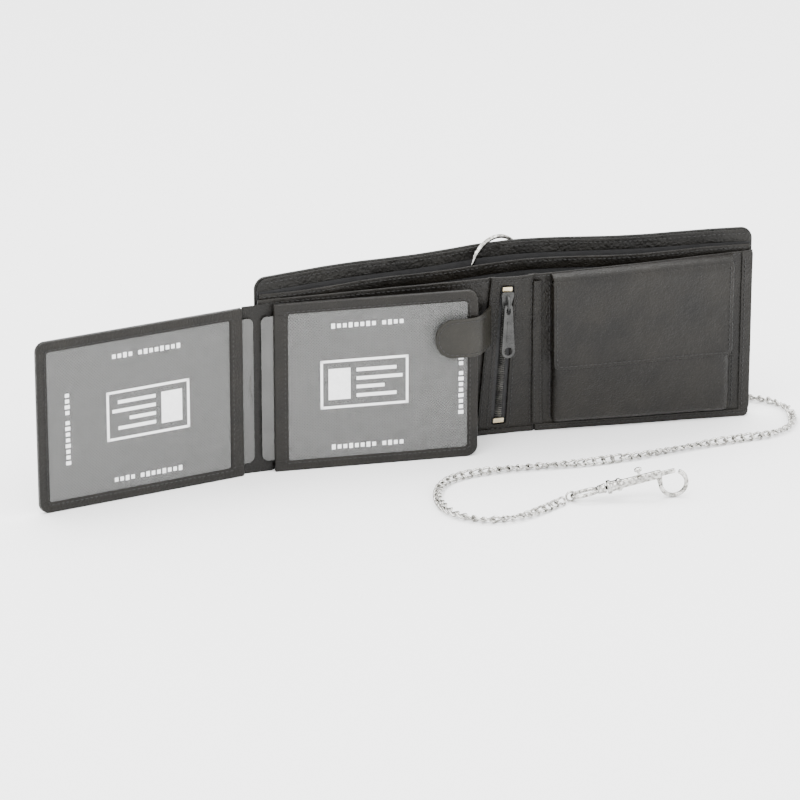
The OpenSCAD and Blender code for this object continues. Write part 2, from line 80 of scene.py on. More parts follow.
def place_camera():
    data = bpy.data.cameras.new("photo_camera")
    data.sensor_width = 36
    data.lens = 199.08
    data.clip_end = 20
    camera = bpy.data.objects.new("photo_camera", data)
    place = Vector((-0.696686, -1.966154, 0.764265))
    aim = Vector((-0.0587, -0.0269, 0.0312))
    turn = (aim - place).to_track_quat("-Z", "Y").to_matrix().to_4x4()
    camera.matrix_world = Matrix.Translation(place) @ turn
    bpy.context.scene.collection.objects.link(camera)
    bpy.context.scene.camera = camera


def area_light(name, place, aim, size, power, tint=(1, 1, 1)):
    data = bpy.data.lights.new(name, "AREA")
    data.shape = "RECTANGLE"
    data.size, data.size_y = size
    data.energy = power
    data.color = tint
    lamp = bpy.data.objects.new(name, data)
    turn = (Vector(aim) - Vector(place)).to_track_quat("-Z", "Y").to_matrix().to_4x4()
    lamp.matrix_world = Matrix.Translation(place) @ turn
    bpy.context.scene.collection.objects.link(lamp)


def floor():
    mesh = bpy.data.meshes.new("floor")
    s = 6.0
    drop = cad_bounds[0][2] if cad_bounds[0][2] < 0 else 0.0
    mesh.from_pydata([(-s, -s, drop), (s, -s, drop), (s, s, drop), (-s, s, drop)], [], [(0, 1, 2, 3)])
    obj = bpy.data.objects.new("floor", mesh)
    bpy.context.scene.collection.objects.link(obj)
    material = bpy.data.materials.new("floor_paper")
    material.use_nodes = True
    shader = material.node_tree.nodes["Principled BSDF"]
    shader.inputs["Base Color"].default_value = (0.97, 0.97, 0.97, 1)
    shader.inputs["Roughness"].default_value = 0.75
    mesh.materials.append(material)


def world_light():
    world = bpy.data.worlds.new("studio")
    world.use_nodes = True
    world.node_tree.nodes["Background"].inputs["Color"].default_value = (1, 1, 1, 1)
    world.node_tree.nodes["Background"].inputs["Strength"].default_value = 3.1
    bpy.context.scene.world = world


place_camera()
floor()
world_light()
area_light("key", (-0.55, -0.75, 1.35), (0, -0.03, 0.04), (0.9, 0.9), 20)
area_light("side", (1.2, -0.55, 0.75), (0, -0.03, 0.05), (0.7, 0.9), 10)
area_light("top", (0.0, 0.45, 1.3), (0, -0.05, 0.03), (1.3, 0.7), 16)

# ---------------------------------------------------------------- materials


def new_material(name):
    material = bpy.data.materials.new(name)
    material.use_nodes = True
    tree = material.node_tree
    return material, tree.nodes, tree.links, tree.nodes["Principled BSDF"]


def noise(nodes, links, coords, scale, detail=4.0, rough=0.55):
    node = nodes.new("ShaderNodeTexNoise")
    node.inputs["Scale"].default_value = scale
    node.inputs["Detail"].default_value = detail
    node.inputs["Roughness"].default_value = rough
    links.new(coords, node.inputs["Vector"])
    return node.outputs["Fac"]


def ramp(nodes, links, value, stops):
    node = nodes.new("ShaderNodeValToRGB")
    elements = node.color_ramp.elements
    while len(elements) < len(stops):
        elements.new(0.5)
    for element, (place, colour) in zip(elements, stops):
        element.position = place
        element.color = (*colour, 1)
    links.new(value, node.inputs["Fac"])
    return node.outputs["Color"]


def mix_values(nodes, links, a, b, share):
    node = nodes.new("ShaderNodeMath")
    node.operation = "MULTIPLY_ADD"
    links.new(b, node.inputs[0])
    node.inputs[1].default_value = share
    links.new(a, node.inputs[2])
    return node.outputs[0]


def bump(nodes, links, height, strength, distance, shader):
    node = nodes.new("ShaderNodeBump")
    node.inputs["Strength"].default_value = strength
    node.inputs["Distance"].default_value = distance
    links.new(height, node.inputs["Height"])
    links.new(node.outputs["Normal"], shader.inputs["Normal"])


def leather(name, dark, light, rough, cell, depth, sheen=0.35):
    """Grained leather: rounded cells over fine noise, with wear in the colour."""
    material, nodes, links, shader = new_material(name)
    coords = nodes.new("ShaderNodeTexCoord").outputs["Object"]
    cells = nodes.new("ShaderNodeTexVoronoi")
    cells.inputs["Scale"].default_value = cell
    cells.inputs["Randomness"].default_value = 1.0
    links.new(coords, cells.inputs["Vector"])
    fine = noise(nodes, links, coords, cell * 2.2)
    broad = noise(nodes, links, coords, 46, 6.0)
    creases = noise(nodes, links, coords, 150, 6.0, 0.62)
    grain = mix_values(nodes, links, fine, cells.outputs["Distance"], -0.9)
    grain = mix_values(nodes, links, grain, creases, 4.5)
    links.new(ramp(nodes, links, broad, [(0.3, dark), (0.72, light)]), shader.inputs["Base Color"])
    worn = ramp(nodes, links, fine, [(0.25, (rough - 0.07,) * 3), (0.75, (rough + 0.08,) * 3)])
    links.new(worn, shader.inputs["Roughness"])
    shader.inputs["Specular IOR Level"].default_value = sheen
    bump(nodes, links, grain, 0.55, depth, shader)
    return material


def cloth(name, dark, light, pitch, rough=0.85, ribs=False):
    """Plain weave or ribbed tape: crossing waves lift the threads."""
    material, nodes, links, shader = new_material(name)
    coords = nodes.new("ShaderNodeTexCoord").outputs["Object"]
    heights = []
    for direction in ("Z",) if ribs else ("X", "Z"):
        wave = nodes.new("ShaderNodeTexWave")
        wave.bands_direction = direction
        wave.inputs["Scale"].default_value = pitch
        wave.inputs["Distortion"].default_value = 0.6
        links.new(coords, wave.inputs["Vector"])
        heights.append(wave.outputs["Fac"])
    height = heights[0] if ribs else mix_values(nodes, links, heights[0], heights[1], 1.0)
    soft = noise(nodes, links, coords, 260)
    links.new(ramp(nodes, links, soft, [(0.3, dark), (0.7, light)]), shader.inputs["Base Color"])
    shader.inputs["Roughness"].default_value = rough
    bump(nodes, links, height, 0.4, 0.0001, shader)
    return material


def metal(name, dark, light, rough_low, rough_high, scratch=900, depth=0.00002, metallic=1.0, spots=160):
    """Plated metal: the base colour's dark and light noise patches are painted reflections, finest and
    strongest on the nickel; fine handling marks are in the roughness and bump.
    """
    material, nodes, links, shader = new_material(name)
    coords = nodes.new("ShaderNodeTexCoord").outputs["Object"]
    # painted reflections: noise patches at the spots scale swing the base colour between the dark and light
    # shades
    broad = noise(nodes, links, coords, spots, 2.0)
    fine = noise(nodes, links, coords, scratch, 5.0)
    links.new(ramp(nodes, links, broad, [(0.35, dark), (0.68, light)]), shader.inputs["Base Color"])
    links.new(ramp(nodes, links, fine, [(0.3, (rough_low,) * 3), (0.75, (rough_high,) * 3)]),
        shader.inputs["Roughness"])
    shader.inputs["Metallic"].default_value = metallic
    bump(nodes, links, fine, 0.25, depth, shader)
    return material


def net(name):
    """Fine diagonal net: two sets of threads, clear film between them."""
    material, nodes, links, shader = new_material(name)
    coords = nodes.new("ShaderNodeTexCoord").outputs["Object"]
    split = nodes.new("ShaderNodeSeparateXYZ")
    links.new(coords, split.inputs[0])
    threads = []
    for operation in ("ADD", "SUBTRACT"):
        along = nodes.new("ShaderNodeMath")
        along.operation = operation
        links.new(split.outputs["X"], along.inputs[0])
        links.new(split.outputs["Z"], along.inputs[1])
        scaled = nodes.new("ShaderNodeMath")
        scaled.operation = "MULTIPLY"
        scaled.inputs[1].default_value = 2 * math.pi / 0.0016
        links.new(along.outputs[0], scaled.inputs[0])
        wave = nodes.new("ShaderNodeMath")
        wave.operation = "SINE"
        links.new(scaled.outputs[0], wave.inputs[0])
        threads.append(wave.outputs[0])
    widest = nodes.new("ShaderNodeMath")
    widest.operation = "MAXIMUM"
    links.new(threads[0], widest.inputs[0])
    links.new(threads[1], widest.inputs[1])
    soft = noise(nodes, links, coords, 420)
    links.new(ramp(nodes, links, soft, [(0.3, (0.078, 0.078, 0.076)), (0.7, (0.11, 0.11, 0.108))]),
        shader.inputs["Base Color"])
    shader.inputs["Roughness"].default_value = 0.5
    clear = nodes.new("ShaderNodeBsdfTransparent")
    mixed = nodes.new("ShaderNodeMixShader")
    cover = ramp(nodes, links, widest.outputs[0], [(0.25, (0.45,) * 3), (0.75, (0.92,) * 3)])
    links.new(cover, mixed.inputs["Fac"])
    links.new(clear.outputs[0], mixed.inputs[1])
    links.new(shader.outputs[0], mixed.inputs[2])
    links.new(mixed.outputs[0], nodes["Material Output"].inputs["Surface"])
    bump(nodes, links, widest.outputs[0], 0.5, 0.0001, shader)
    return material


def clear_film(name):
    """Greyish clear card with a faint haze."""
    material, nodes, links, shader = new_material(name)
    coords = nodes.new("ShaderNodeTexCoord").outputs["Object"]
    haze = noise(nodes, links, coords, 60)
    links.new(ramp(nodes, links, haze, [(0.3, (0.042, 0.042, 0.040)), (0.7, (0.07, 0.07, 0.067))]),
        shader.inputs["Base Color"])
    links.new(ramp(nodes, links, haze, [(0.3, (0.12,) * 3), (0.7, (0.2,) * 3)]), shader.inputs["Roughness"])
    shader.inputs["Alpha"].default_value = 0.72
    shader.inputs["Coat Weight"].default_value = 0.4
    bump(nodes, links, haze, 0.3, 0.0003, shader)
    return material


def paint(name, dark, light, rough):
    material, nodes, links, shader = new_material(name)
    coords = nodes.new("ShaderNodeTexCoord").outputs["Object"]
    fine = noise(nodes, links, coords, 500)
    links.new(ramp(nodes, links, fine, [(0.3, dark), (0.7, light)]), shader.inputs["Base Color"])
    shader.inputs["Roughness"].default_value = rough
    bump(nodes, links, fine, 0.2, 0.00003, shader)
    return material


MATERIALS = {
    "cover_leather": leather("cover_leather", (0.0018, 0.0016, 0.0012), (0.0062, 0.0055, 0.0041), 0.34, 800,
        0.00055, 0.22),
    "inner_leather": leather("inner_leather", (0.0024, 0.0020, 0.0014), (0.0078, 0.0066, 0.0048), 0.31, 1050,
        0.00044, 0.22),
    "tab_leather": leather("tab_leather", (0.0075, 0.0068, 0.0048), (0.015, 0.0135, 0.0100), 0.36, 1200,
        0.00032, 0.24),
    "lining_cloth": cloth("lining_cloth", (0.0045, 0.0045, 0.005), (0.009, 0.009, 0.0095), 1100),
    "zip_tape": cloth("zip_tape", (0.007, 0.007, 0.0075), (0.012, 0.012, 0.0125), 900, 0.8, True),
    "window_mesh": net("window_mesh"),
    "clear_card": clear_film("clear_card"),
    "card_print": paint("card_print", (0.74, 0.74, 0.74), (0.84, 0.84, 0.84), 0.5),
    "thread": paint("thread", (0.0010, 0.0009, 0.0008), (0.0030, 0.0026, 0.0022), 0.6),
    # nickel: its fine, strong dark-to-light colour speckle (spots=620) is a painted reflection
    "nickel": metal("nickel", (0.16, 0.155, 0.14), (0.66, 0.65, 0.62), 0.08, 0.2, spots=620),
    "zip_metal": metal("zip_metal", (0.03, 0.03, 0.028), (0.11, 0.108, 0.10), 0.22, 0.4),
    "dark_metal": metal("dark_metal", (0.022, 0.022, 0.0215), (0.042, 0.042, 0.041), 0.24, 0.36,
        metallic=0.5),
    "brass": metal("brass", (0.46, 0.38, 0.24), (0.62, 0.54, 0.38), 0.25, 0.42),
}

# ---------------------------------------------------------------- mesh helpers, in millimetres


def rebuilt(mesh, sharp=48):
    """Welds the mesh, turns its faces outwards and shades it smooth except at real edges."""
    work = bmesh.new()
    work.from_mesh(mesh)
    bmesh.ops.remove_doubles(work, verts=work.verts, dist=2e-6)
    bmesh.ops.dissolve_degenerate(work, dist=1e-7, edges=work.edges)
    bmesh.ops.recalc_face_normals(work, faces=work.faces)
    work.to_mesh(mesh)
    work.free()
    mesh.polygons.foreach_set("use_smooth", [True] * len(mesh.polygons))
    mesh.set_sharp_from_angle(angle=radians(sharp))
    mesh.update()


def piece(name, points, faces, slot, body=None, replaces=(), matrix=None, blend=None, squash=None, sharp=48,
    weld=True):
    """A finished object: mesh from points in mm, material, and how it moves."""
    mesh = bpy.data.meshes.new(name)
    mesh.from_pydata((np.asarray(points, float) * MM).tolist(), [], [tuple(int(i) for i in f) for f in faces])
    if weld:
        rebuilt(mesh, sharp)
    else:
        mesh.polygons.foreach_set("use_smooth", [True] * len(mesh.polygons))
        mesh.update()
    return dress(bpy.data.objects.new(name, mesh), slot, body, replaces, matrix, blend, squash)


def dress(obj, slot, body=None, replaces=(), matrix=None, blend=None, squash=None):
    bpy.context.scene.collection.objects.link(obj)
    if matrix is not None:
        obj.matrix_world = matrix
    obj.data.materials.clear()
    obj.data.materials.append(MATERIALS[slot])
    if blend:
        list(blend)
        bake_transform(obj)
    else:
        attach(obj, body)
    if squash:
        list(squash)
        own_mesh(obj)
    if replaces:
        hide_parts(*replaces)
    return obj


def spread(lo, hi, step, e_lo, e_hi):
    """Positions from lo to hi, close together where an edge is rounded over e."""
    near = np.array([0, 0.02, 0.08, 0.2, 0.42, 0.7])
    count = max(2, int(round((hi - lo - e_lo - e_hi) / step)) + 1)
    parts = [np.linspace(lo + e_lo, hi - e_hi, count)]
    if e_lo:
        parts.insert(0, lo + near * e_lo)
    if e_hi:
        parts.append((hi - near * e_hi)[::-1])
    return np.concatenate(parts)


def roundness(distance, e):
    if not e:
        return np.ones_like(distance)
    t = np.clip(distance / e, 0, 1)
    return np.sqrt(np.clip(1 - (1 - t) ** 2, 0, 1))


def slab(at, u, z, d, step=3.0, edge=(0, 0, 0, 0), corner=(0, 0, 0, 0), flat_back=False, zstep=None):
    """A thick sheet over the surface at(u, z, d). edge: rounding at low u, high u, low z, high z.
    corner: radius at low-low, high-low, high-high and low-high (u, z)."""
    us = spread(u[0], u[1], step, edge[0], edge[1])
    zs = spread(z[0], z[1], zstep or step, edge[2], edge[3])
    extra = []
    for which, radius in enumerate(corner):
        if radius:
            arc = radius * (1 - np.cos(np.radians(np.arange(6, 91, 8))))
            extra.append(z[0] + arc if which < 2 else z[1] - arc)
    if extra:
        zs = np.unique(np.round(np.concatenate([zs] + extra), 4))
    U, Z = np.meshgrid(us, zs)

    def inset(radius, distance):
        if not radius:
            return np.zeros_like(distance)
        t = np.clip(radius - distance, 0, radius)
        return radius - np.sqrt(radius ** 2 - t ** 2)

    low, high = Z - z[0], z[1] - Z
    left = inset(corner[0], low) + inset(corner[3], high)
    right = inset(corner[1], low) + inset(corner[2], high)
    share = (U - u[0]) / (u[1] - u[0])
    k = roundness(U - u[0], edge[0]) * roundness(u[1] - U, edge[1]) * roundness(low, edge[2]) * roundness(
        high, edge[3])
    U = U + left * (1 - share) - right * share
    if flat_back:
        front, back = d[0] + (d[1] - d[0]) * k, np.full_like(k, d[0])
    else:
        mid, half = (d[0] + d[1]) / 2, (d[1] - d[0]) / 2
        front, back = mid + half * k, mid - half * k
    rows, cols = U.shape
    points = np.concatenate([at(U, Z, front).reshape(-1, 3), at(U, Z, back).reshape(-1, 3)])
    far = rows * cols
    a = (np.arange(rows - 1)[:, None] * cols + np.arange(cols - 1)[None, :]).ravel()
    faces = [np.stack([a, a + 1, a + cols + 1, a + cols], 1),
        np.stack([a + far, a + cols + far, a + cols + 1 + far, a + 1 + far], 1)]
    i = np.arange(cols - 1)
    top = (rows - 1) * cols + i
    faces.append(np.stack([i, i + far, i + 1 + far, i + 1], 1))
    faces.append(np.stack([top, top + 1, top + 1 + far, top + far], 1))
    j = np.arange(rows - 1) * cols
    e = j + cols - 1
    faces.append(np.stack([j, j + cols, j + cols + far, j + far], 1))
    faces.append(np.stack([e, e + far, e + cols + far, e + cols], 1))
    return points, np.concatenate(faces).tolist()


def joined(parts):
    points, faces, at = [], [], 0
    for p, f in parts:
        p = np.asarray(p, float)
        points.append(p)
        faces += [[i + at for i in face] for face in f]
        at += len(p)
    return np.concatenate(points), faces


def cross_frames(path, closed):
    path = np.asarray(path, float)
    if closed:
        ahead = np.roll(path, -1, 0) - np.roll(path, 1, 0)
    else:
        ahead = np.gradient(path, axis=0)
    ahead /= np.linalg.norm(ahead, axis=1)[:, None]
    side = np.cross(ahead[0], [0.31, 0.17, 1.0])
    side /= np.linalg.norm(side)
    sides = []
    for d in ahead:
        side = side - d * (side @ d)
        side /= np.linalg.norm(side)
        sides.append(side)
    sides = np.array(sides)
    return path, sides, np.cross(ahead, sides)


def tube(path, r, sides=8, closed=False):
    """A round wire along a path; r is one radius or one for each point."""
    path, flat, tall = cross_frames(path, closed)
    r = np.broadcast_to(np.asarray(r, float), (len(path),))
    angle = np.arange(sides) * 2 * np.pi / sides
    rings = path[:, None, :] + r[:, None, None] * (
        np.cos(angle)[None, :, None] * flat[:, None, :] + np.sin(angle)[None, :, None] * tall[:, None, :])
    count = len(path)
    faces = []
    for i in range(count if closed else count - 1):
        a, b = i * sides, ((i + 1) % count) * sides
        faces += [[a + k, a + (k + 1) % sides, b + (k + 1) % sides, b + k] for k in range(sides)]
    if not closed:
        faces.append(list(range(sides - 1, -1, -1)))
        faces.append([(count - 1) * sides + k for k in range(sides)])
    return rings.reshape(-1, 3), faces


def lathe(profile, sides=48):
    """Turned about +X from (x, r) pairs; its ends are closed."""
    angle = np.arange(sides) * 2 * np.pi / sides
    points = [[x, r * math.cos(a), r * math.sin(a)] for x, r in profile for a in angle]
    faces = []
    for i in range(len(profile) - 1):
        a, b = i * sides, (i + 1) * sides
        faces += [[a + k, a + (k + 1) % sides, b + (k + 1) % sides, b + k] for k in range(sides)]
    faces.append(list(range(sides - 1, -1, -1)))
    faces.append([(len(profile) - 1) * sides + k for k in range(sides)])
    return np.array(points), faces


def sweep_closed(sections):
    """A closed tube through equal closed sections, shape (count, points, 3), joined end to start."""
    count, n, _ = sections.shape
    faces = []
    for i in range(count):
        a, b = i * n, ((i + 1) % count) * n
        faces += [[a + k, a + (k + 1) % n, b + (k + 1) % n, b + k] for k in range(n)]
    return sections.reshape(-1, 3), faces


def rounded_loop(u, z, radii, straight=14, turn=7):
    """Points round a rectangle with rounded corners.

    Radii are for high-high, low-high, low-low and high-low (u, z)."""
    centres = [(u[1] - radii[0], z[1] - radii[0]), (u[0] + radii[1], z[1] - radii[1]),
        (u[0] + radii[2], z[0] + radii[2]), (u[1] - radii[3], z[0] + radii[3])]
    points = []
    for which, ((cx, cz), r) in enumerate(zip(centres, radii)):
        angle = np.radians(which * 90 + np.linspace(0, 90, turn))
        points += [[cx + r * math.cos(a), cz + r * math.sin(a)] for a in angle]
        nx, nz = centres[(which + 1) % 4]
        nr = radii[(which + 1) % 4]
        a = math.radians((which + 1) * 90)
        start = np.array(points[-1])
        end = np.array([nx + nr * math.cos(a), nz + nr * math.sin(a)])
        points += [list(start + (end - start) * k / straight) for k in range(1, straight)]
    return np.array(points)


def band(at, inner, outer, section, lift=None):
    """A frame between two matching loops. section: closed list of (share from inner to outer, d)."""
    sections = np.zeros((len(inner), len(section), 3))
    for k, (share, d) in enumerate(section):
        flat = inner + (outer - inner) * share
        depth = np.full(len(inner), float(d)) if np.isscalar(d) else d
        if lift is not None:
            depth = depth + lift(share, flat)
        sections[:, k] = at(flat[:, 0], flat[:, 1], depth)
    return sweep_closed(sections)


def along_path(points, pitch, margin=0.6):
    """Arc lengths of stitch middles along a polyline, and a function back to the polyline."""
    points = np.asarray(points, float)
    length = np.concatenate([[0], np.cumsum(np.linalg.norm(np.diff(points, axis=0), axis=1))])
    count = max(1, int((length[-1] - 2 * margin) / pitch))
    middles = margin + (np.arange(count) + 0.5) * (length[-1] - 2 * margin) / count

    def back(s):
        return np.stack([np.interp(s, length, points[:, k]) for k in range(points.shape[1])], -1)

    return middles, back


def stitches(at, route, d, pitch=2.5, length=1.75, r=0.22, lift=0.17):
    """Thread arcs along a route of (u, z) points on the surface at(u, z, d)."""
    middles, back = along_path(route, pitch)
    t = np.linspace(0, 1, 6)
    parts = []
    for s in middles:
        uz = back(s + (t - 0.5) * length)
        arc = d - 0.2 + (0.2 + lift) * np.sin(np.pi * t) ** 0.6
        parts.append(tube(at(uz[:, 0], uz[:, 1], arc), r * np.array([0.7, 1, 1.05, 1.05, 1, 0.7]), 6))
    return joined(parts)


def plate(name, loops, depth, bevel=0.2):
    """A flat plate with rounded edges from outlines in x and z; later outlines are holes. Faces -Y."""
    curve = bpy.data.curves.new(name, "CURVE")
    curve.dimensions = "2D"
    curve.fill_mode = "BOTH"
    curve.extrude = ((depth[1] - depth[0]) / 2 - bevel) * MM
    curve.bevel_depth = bevel * MM
    curve.offset = -bevel * MM
    curve.bevel_resolution = 3
    for loop in loops:
        spline = curve.splines.new("POLY")
        spline.points.add(len(loop) - 1)
        for point, (x, z) in zip(spline.points, loop):
            point.co = (x * MM, z * MM, 0, 1)
        spline.use_cyclic_u = True
    holder = bpy.data.objects.new(name + "_outline", curve)
    mesh = bpy.data.meshes.new_from_object(holder)
    mesh.name = name
    bpy.data.objects.remove(holder)
    bpy.data.curves.remove(curve)
    mid = (depth[0] + depth[1]) / 2 * MM
    mesh.transform(Matrix.Translation((0, mid, 0)) @ Matrix.Rotation(math.pi / 2, 4, "X"))
    rebuilt(mesh, 35)
    return mesh


def mesh_piece(name, mesh, slot, body=None, replaces=(), matrix=None, blend=None, squash=None):
    return dress(bpy.data.objects.new(name, mesh), slot, body, replaces, matrix, blend, squash)


def circle(cx, cz, r, count=40):
    return [(cx + r * math.cos(a), cz + r * math.sin(a)) for a in np.arange(count) * 2 * math.pi / count]


def box_part(x, y, z):
    points = [[a, b, c] for c in z for b in y for a in x]
    return np.array(points, float), [[0, 2, 3, 1], [4, 5, 7, 6], [0, 1, 5, 4], [2, 6, 7, 3], [0, 4, 6, 2],
        [1, 3, 7, 5]]


def spun(a, b):
    """Matrix of a move to a and a turn about Z by b degrees."""
    return Matrix.Translation(Vector(a) * MM) @ Matrix.Rotation(radians(b), 4, "Z")


def ease(t):
    c = np.clip(t, 0, 1)
    return c * c * (3 - 2 * c)


# ---------------------------------------------------------------- the surfaces, in millimetres
# u runs along the cover from the spine's middle, d stands off towards the inside

END_U, FOLD_U, HALF_TURN = 131.0, 11.0, 8.25
PANEL_H, DIVIDER_H, COVER_H, LEAF_H = 88.0, 91.0, 99.0, 86.0


def lean(u):
    return np.radians(HALF_TURN) * ease((np.abs(u) - 4) / 14)


LINE_U = np.linspace(0, 140, 1401)
LINE_STEP = LINE_U[1] - LINE_U[0]
LINE_X = np.concatenate([[0], np.cumsum(np.cos(lean(LINE_U[1:])) * LINE_STEP)])
LINE_Y = np.concatenate([[0], np.cumsum(-np.sin(lean(LINE_U[1:])) * LINE_STEP)])


def spot(u, n, z):
    a, side = lean(u), np.sign(u)
    x = side * (np.interp(np.abs(u), LINE_U, LINE_X) - n * np.sin(a))
    y = np.interp(np.abs(u), LINE_U, LINE_Y) - n * np.cos(a)
    return np.stack(np.broadcast_arrays(x, y, z), -1)


def ripple(u, z, size):
    """The slight unevenness of worked leather."""
    return size * (np.sin(u * 0.11 + 1.3 * np.sin(z * 0.07)) * 0.5 + np.sin(z * 0.16 + u * 0.05 + 0.8) * 0.3
        + np.sin(u * 0.31 - z * 0.23) * 0.2)


def bulge(u):
    share = np.clip(np.abs(u) / END_U, 0, 1)
    return 1 - np.where(u > 0, share ** 1.3, share ** 1.05)


def panel_n(u, z):
    return 2.4 + bulge(u) * (3.5 + 18.0 * z / PANEL_H)


def on_panel(u, z, d):
    over = 5.5 * ease((u + 12) / 36) * (1 - u / END_U)
    v = u - over * (z / PANEL_H - 0.5)
    return spot(v, panel_n(v, z) + 1.2 + d + ripple(u, z, 0.35), z)


def on_cover(u, z, d):
    top = ease((z - 80) / 19)
    return spot(u, d + ripple(u, z, 0.25) * top, z + 0.5 * top * np.sin(u * 0.06 + 0.6) - 0.5 * top)


def on_divider(u, z, d):
    n = 1.45 + (1 - np.clip(np.abs(u) / END_U, 0, 1) ** 3) * (1.6 + 4.2 * z / DIVIDER_H)
    return spot(u, n + d + ripple(u, z, 0.3), z + 0.5 * np.sin(u * 0.07) * z / DIVIDER_H - 0.3)


def direction(side):
    return (-side * math.sin(radians(HALF_TURN)), -math.cos(radians(HALF_TURN)), 0)


# settings for how the soft layers should move: the cover bending at the folds, dividers and panels flattening
# as the wallet closes; dress() applies none of them, so nothing here bends or flattens
BEND_LEFT = ("left_half", "spine", (-0.0165, 0, 0), (-0.0055, 0, 0))
BEND_RIGHT = ("spine", "right_half", (0.0055, 0, 0), (0.0165, 0, 0))
BEND_ZIP = ("spine", "zip_carriage", (0, 0, 0.004), (0, 0, 0.060))
FLAT_LEFT = ("right_fold", direction(-1), (-0.011, -0.0016, 0), 0.16)
FLAT_RIGHT = ("right_fold", direction(1), (0.011, -0.0016, 0), 0.2)

# ---------------------------------------------------------------- cover, lining, dividers

BEND = {-1: BEND_LEFT, 1: BEND_RIGHT}
RING_R, RING_TURN = 15.5, radians(22)
RING_Z = COVER_H + 3.2 - RING_R - 1
EYE_Z = RING_Z - RING_R + 0.4
HOLE_R, SPINE_REACH = 7.4, 8


def pierced(points, faces):
    """Open the eyelet's round hole in a layer of the spine."""
    points = np.array(points, float)
    away = np.stack([points[:, 0], points[:, 2] - EYE_Z], -1)
    far = np.maximum(np.linalg.norm(away, axis=1), 1e-6)
    inside = (far < HOLE_R) & (np.abs(points[:, 0]) < SPINE_REACH)
    points[inside, 0] = away[inside, 0] / far[inside] * HOLE_R
    points[inside, 2] = EYE_Z + away[inside, 1] / far[inside] * HOLE_R
    return points, [face for face in faces if not all(inside[k] for k in face)]


NAME = {-1: "left", 1: "right"}
for side in (-1, 1):
    u = (0, END_U) if side > 0 else (-END_U, 0)
    rounding = (0, 0.9, 0.8, 0.9) if side > 0 else (0.9, 0, 0.8, 0.9)
    corner = (0, 3.5, 6, 0) if side > 0 else (3.5, 0, 0, 6)
    own = "cover_" + NAME[side]
    more = ("cover_spine",) if side > 0 else ()
    piece(own + "_leather", *pierced(*slab(on_cover, u, (0, COVER_H), (-1.0, 0.6), 2.4, rounding, corner)),
        "cover_leather", blend=BEND[side], replaces=(own,) + more)
    inner = (0.0, END_U - 1) if side > 0 else (-END_U + 1, 0.0)
    more = ("lining_spine",) if side > 0 else ()
    piece("lining_" + NAME[side] + "_cloth",
        *pierced(*slab(on_cover, inner, (0.4, COVER_H - 6.2), (0.72, 1.3), 3, (0, 0, 0, 0.3), (0, 0, 0, 0))),
        "lining_cloth", blend=BEND[side], replaces=("lining_" + NAME[side],) + more)
    # turned-in leather band along the inside of the cover's top edge, with its stitches
    piece("cover_band_" + NAME[side], *slab(
        on_cover, inner, (COVER_H - 7.4, COVER_H - 0.9), (0.62, 1.42), 2.4,
        (0, 0.4, 0.5, 0.5) if side > 0 else (0.4, 0, 0.5, 0.5), (0, 0, 5, 0) if side > 0 else (0, 0, 0, 5)),
        "cover_leather", blend=BEND[side])
    route = [(x, COVER_H - 2.9) for x in np.linspace(inner[0] + 1, inner[1] - 2, 80)]
    piece("cover_band_stitches_" + NAME[side], *stitches(on_cover, route, 1.42), "thread", blend=BEND[side])

FLAT_SPINE = ("right_fold", (0, -1, 0), (0, -0.0016, 0), 0.2)
for part, lo, hi, body, flat in (("left", -END_U + 1.6, -FOLD_U, "left_half", FLAT_LEFT),
    ("spine", -FOLD_U, FOLD_U, "spine", FLAT_SPINE),
    ("right", FOLD_U, END_U - 1.6, "right_half", FLAT_RIGHT)):
    soft = dict(body=body, squash=flat)
    piece("divider_" + part + "_cloth", *slab(
        on_divider, (lo, hi), (3.2, DIVIDER_H - 1), (0.1, 0.7), 3, (0, 0, 0, 0.3)), "lining_cloth",
        replaces=("divider_" + part,), **soft)
    piece("divider_edge_" + part, *slab(on_divider, (lo, hi), (DIVIDER_H - 6, DIVIDER_H), (-0.1, 0.95), 2.4,
        (0, 0, 0.4, 0.5)), "inner_leather", **soft)
    route = [(x, DIVIDER_H - 1.7) for x in np.linspace(lo + 1, hi - 1, max(int((hi - lo) / 1.5), 8))]
    piece("divider_stitches_" + part, *stitches(on_divider, route, 0.95), "thread", **soft)


def sunk(edge, width):
    """Panels dip behind the zip panel where it overlaps them."""
    def at(u, z, d):
        return on_panel(u, z, d - 1.3 * ease((edge + width - np.abs(u)) / width))
    return at


# ---------------------------------------------------------------- front panels

left_at, right_at = sunk(12.6, 3.0), sunk(16.6, 3.0)
piece("front_panel_left_leather", *slab(
    left_at, (-END_U + 0.4, -8.4), (0, PANEL_H), (-1.2, 0), 2.4, (0.5, 0, 0.4, 0.6)), "inner_leather",
    "left_half", ("front_panel_left",), squash=FLAT_LEFT)
piece("front_panel_right_leather", *slab(
    right_at, (12.4, END_U - 0.4), (0, PANEL_H), (-1.2, 0), 2.4, (0, 0.6, 0.4, 0.6), (0, 5, 0, 0)),
    "inner_leather", "right_half", ("front_panel_right",), squash=FLAT_RIGHT)
route = [(x, PANEL_H - 2.0) for x in np.linspace(-END_U + 3, -13.5, 70)]
piece("panel_stitches_left", *stitches(on_panel, route, 0.05), "thread", "left_half", squash=FLAT_LEFT)

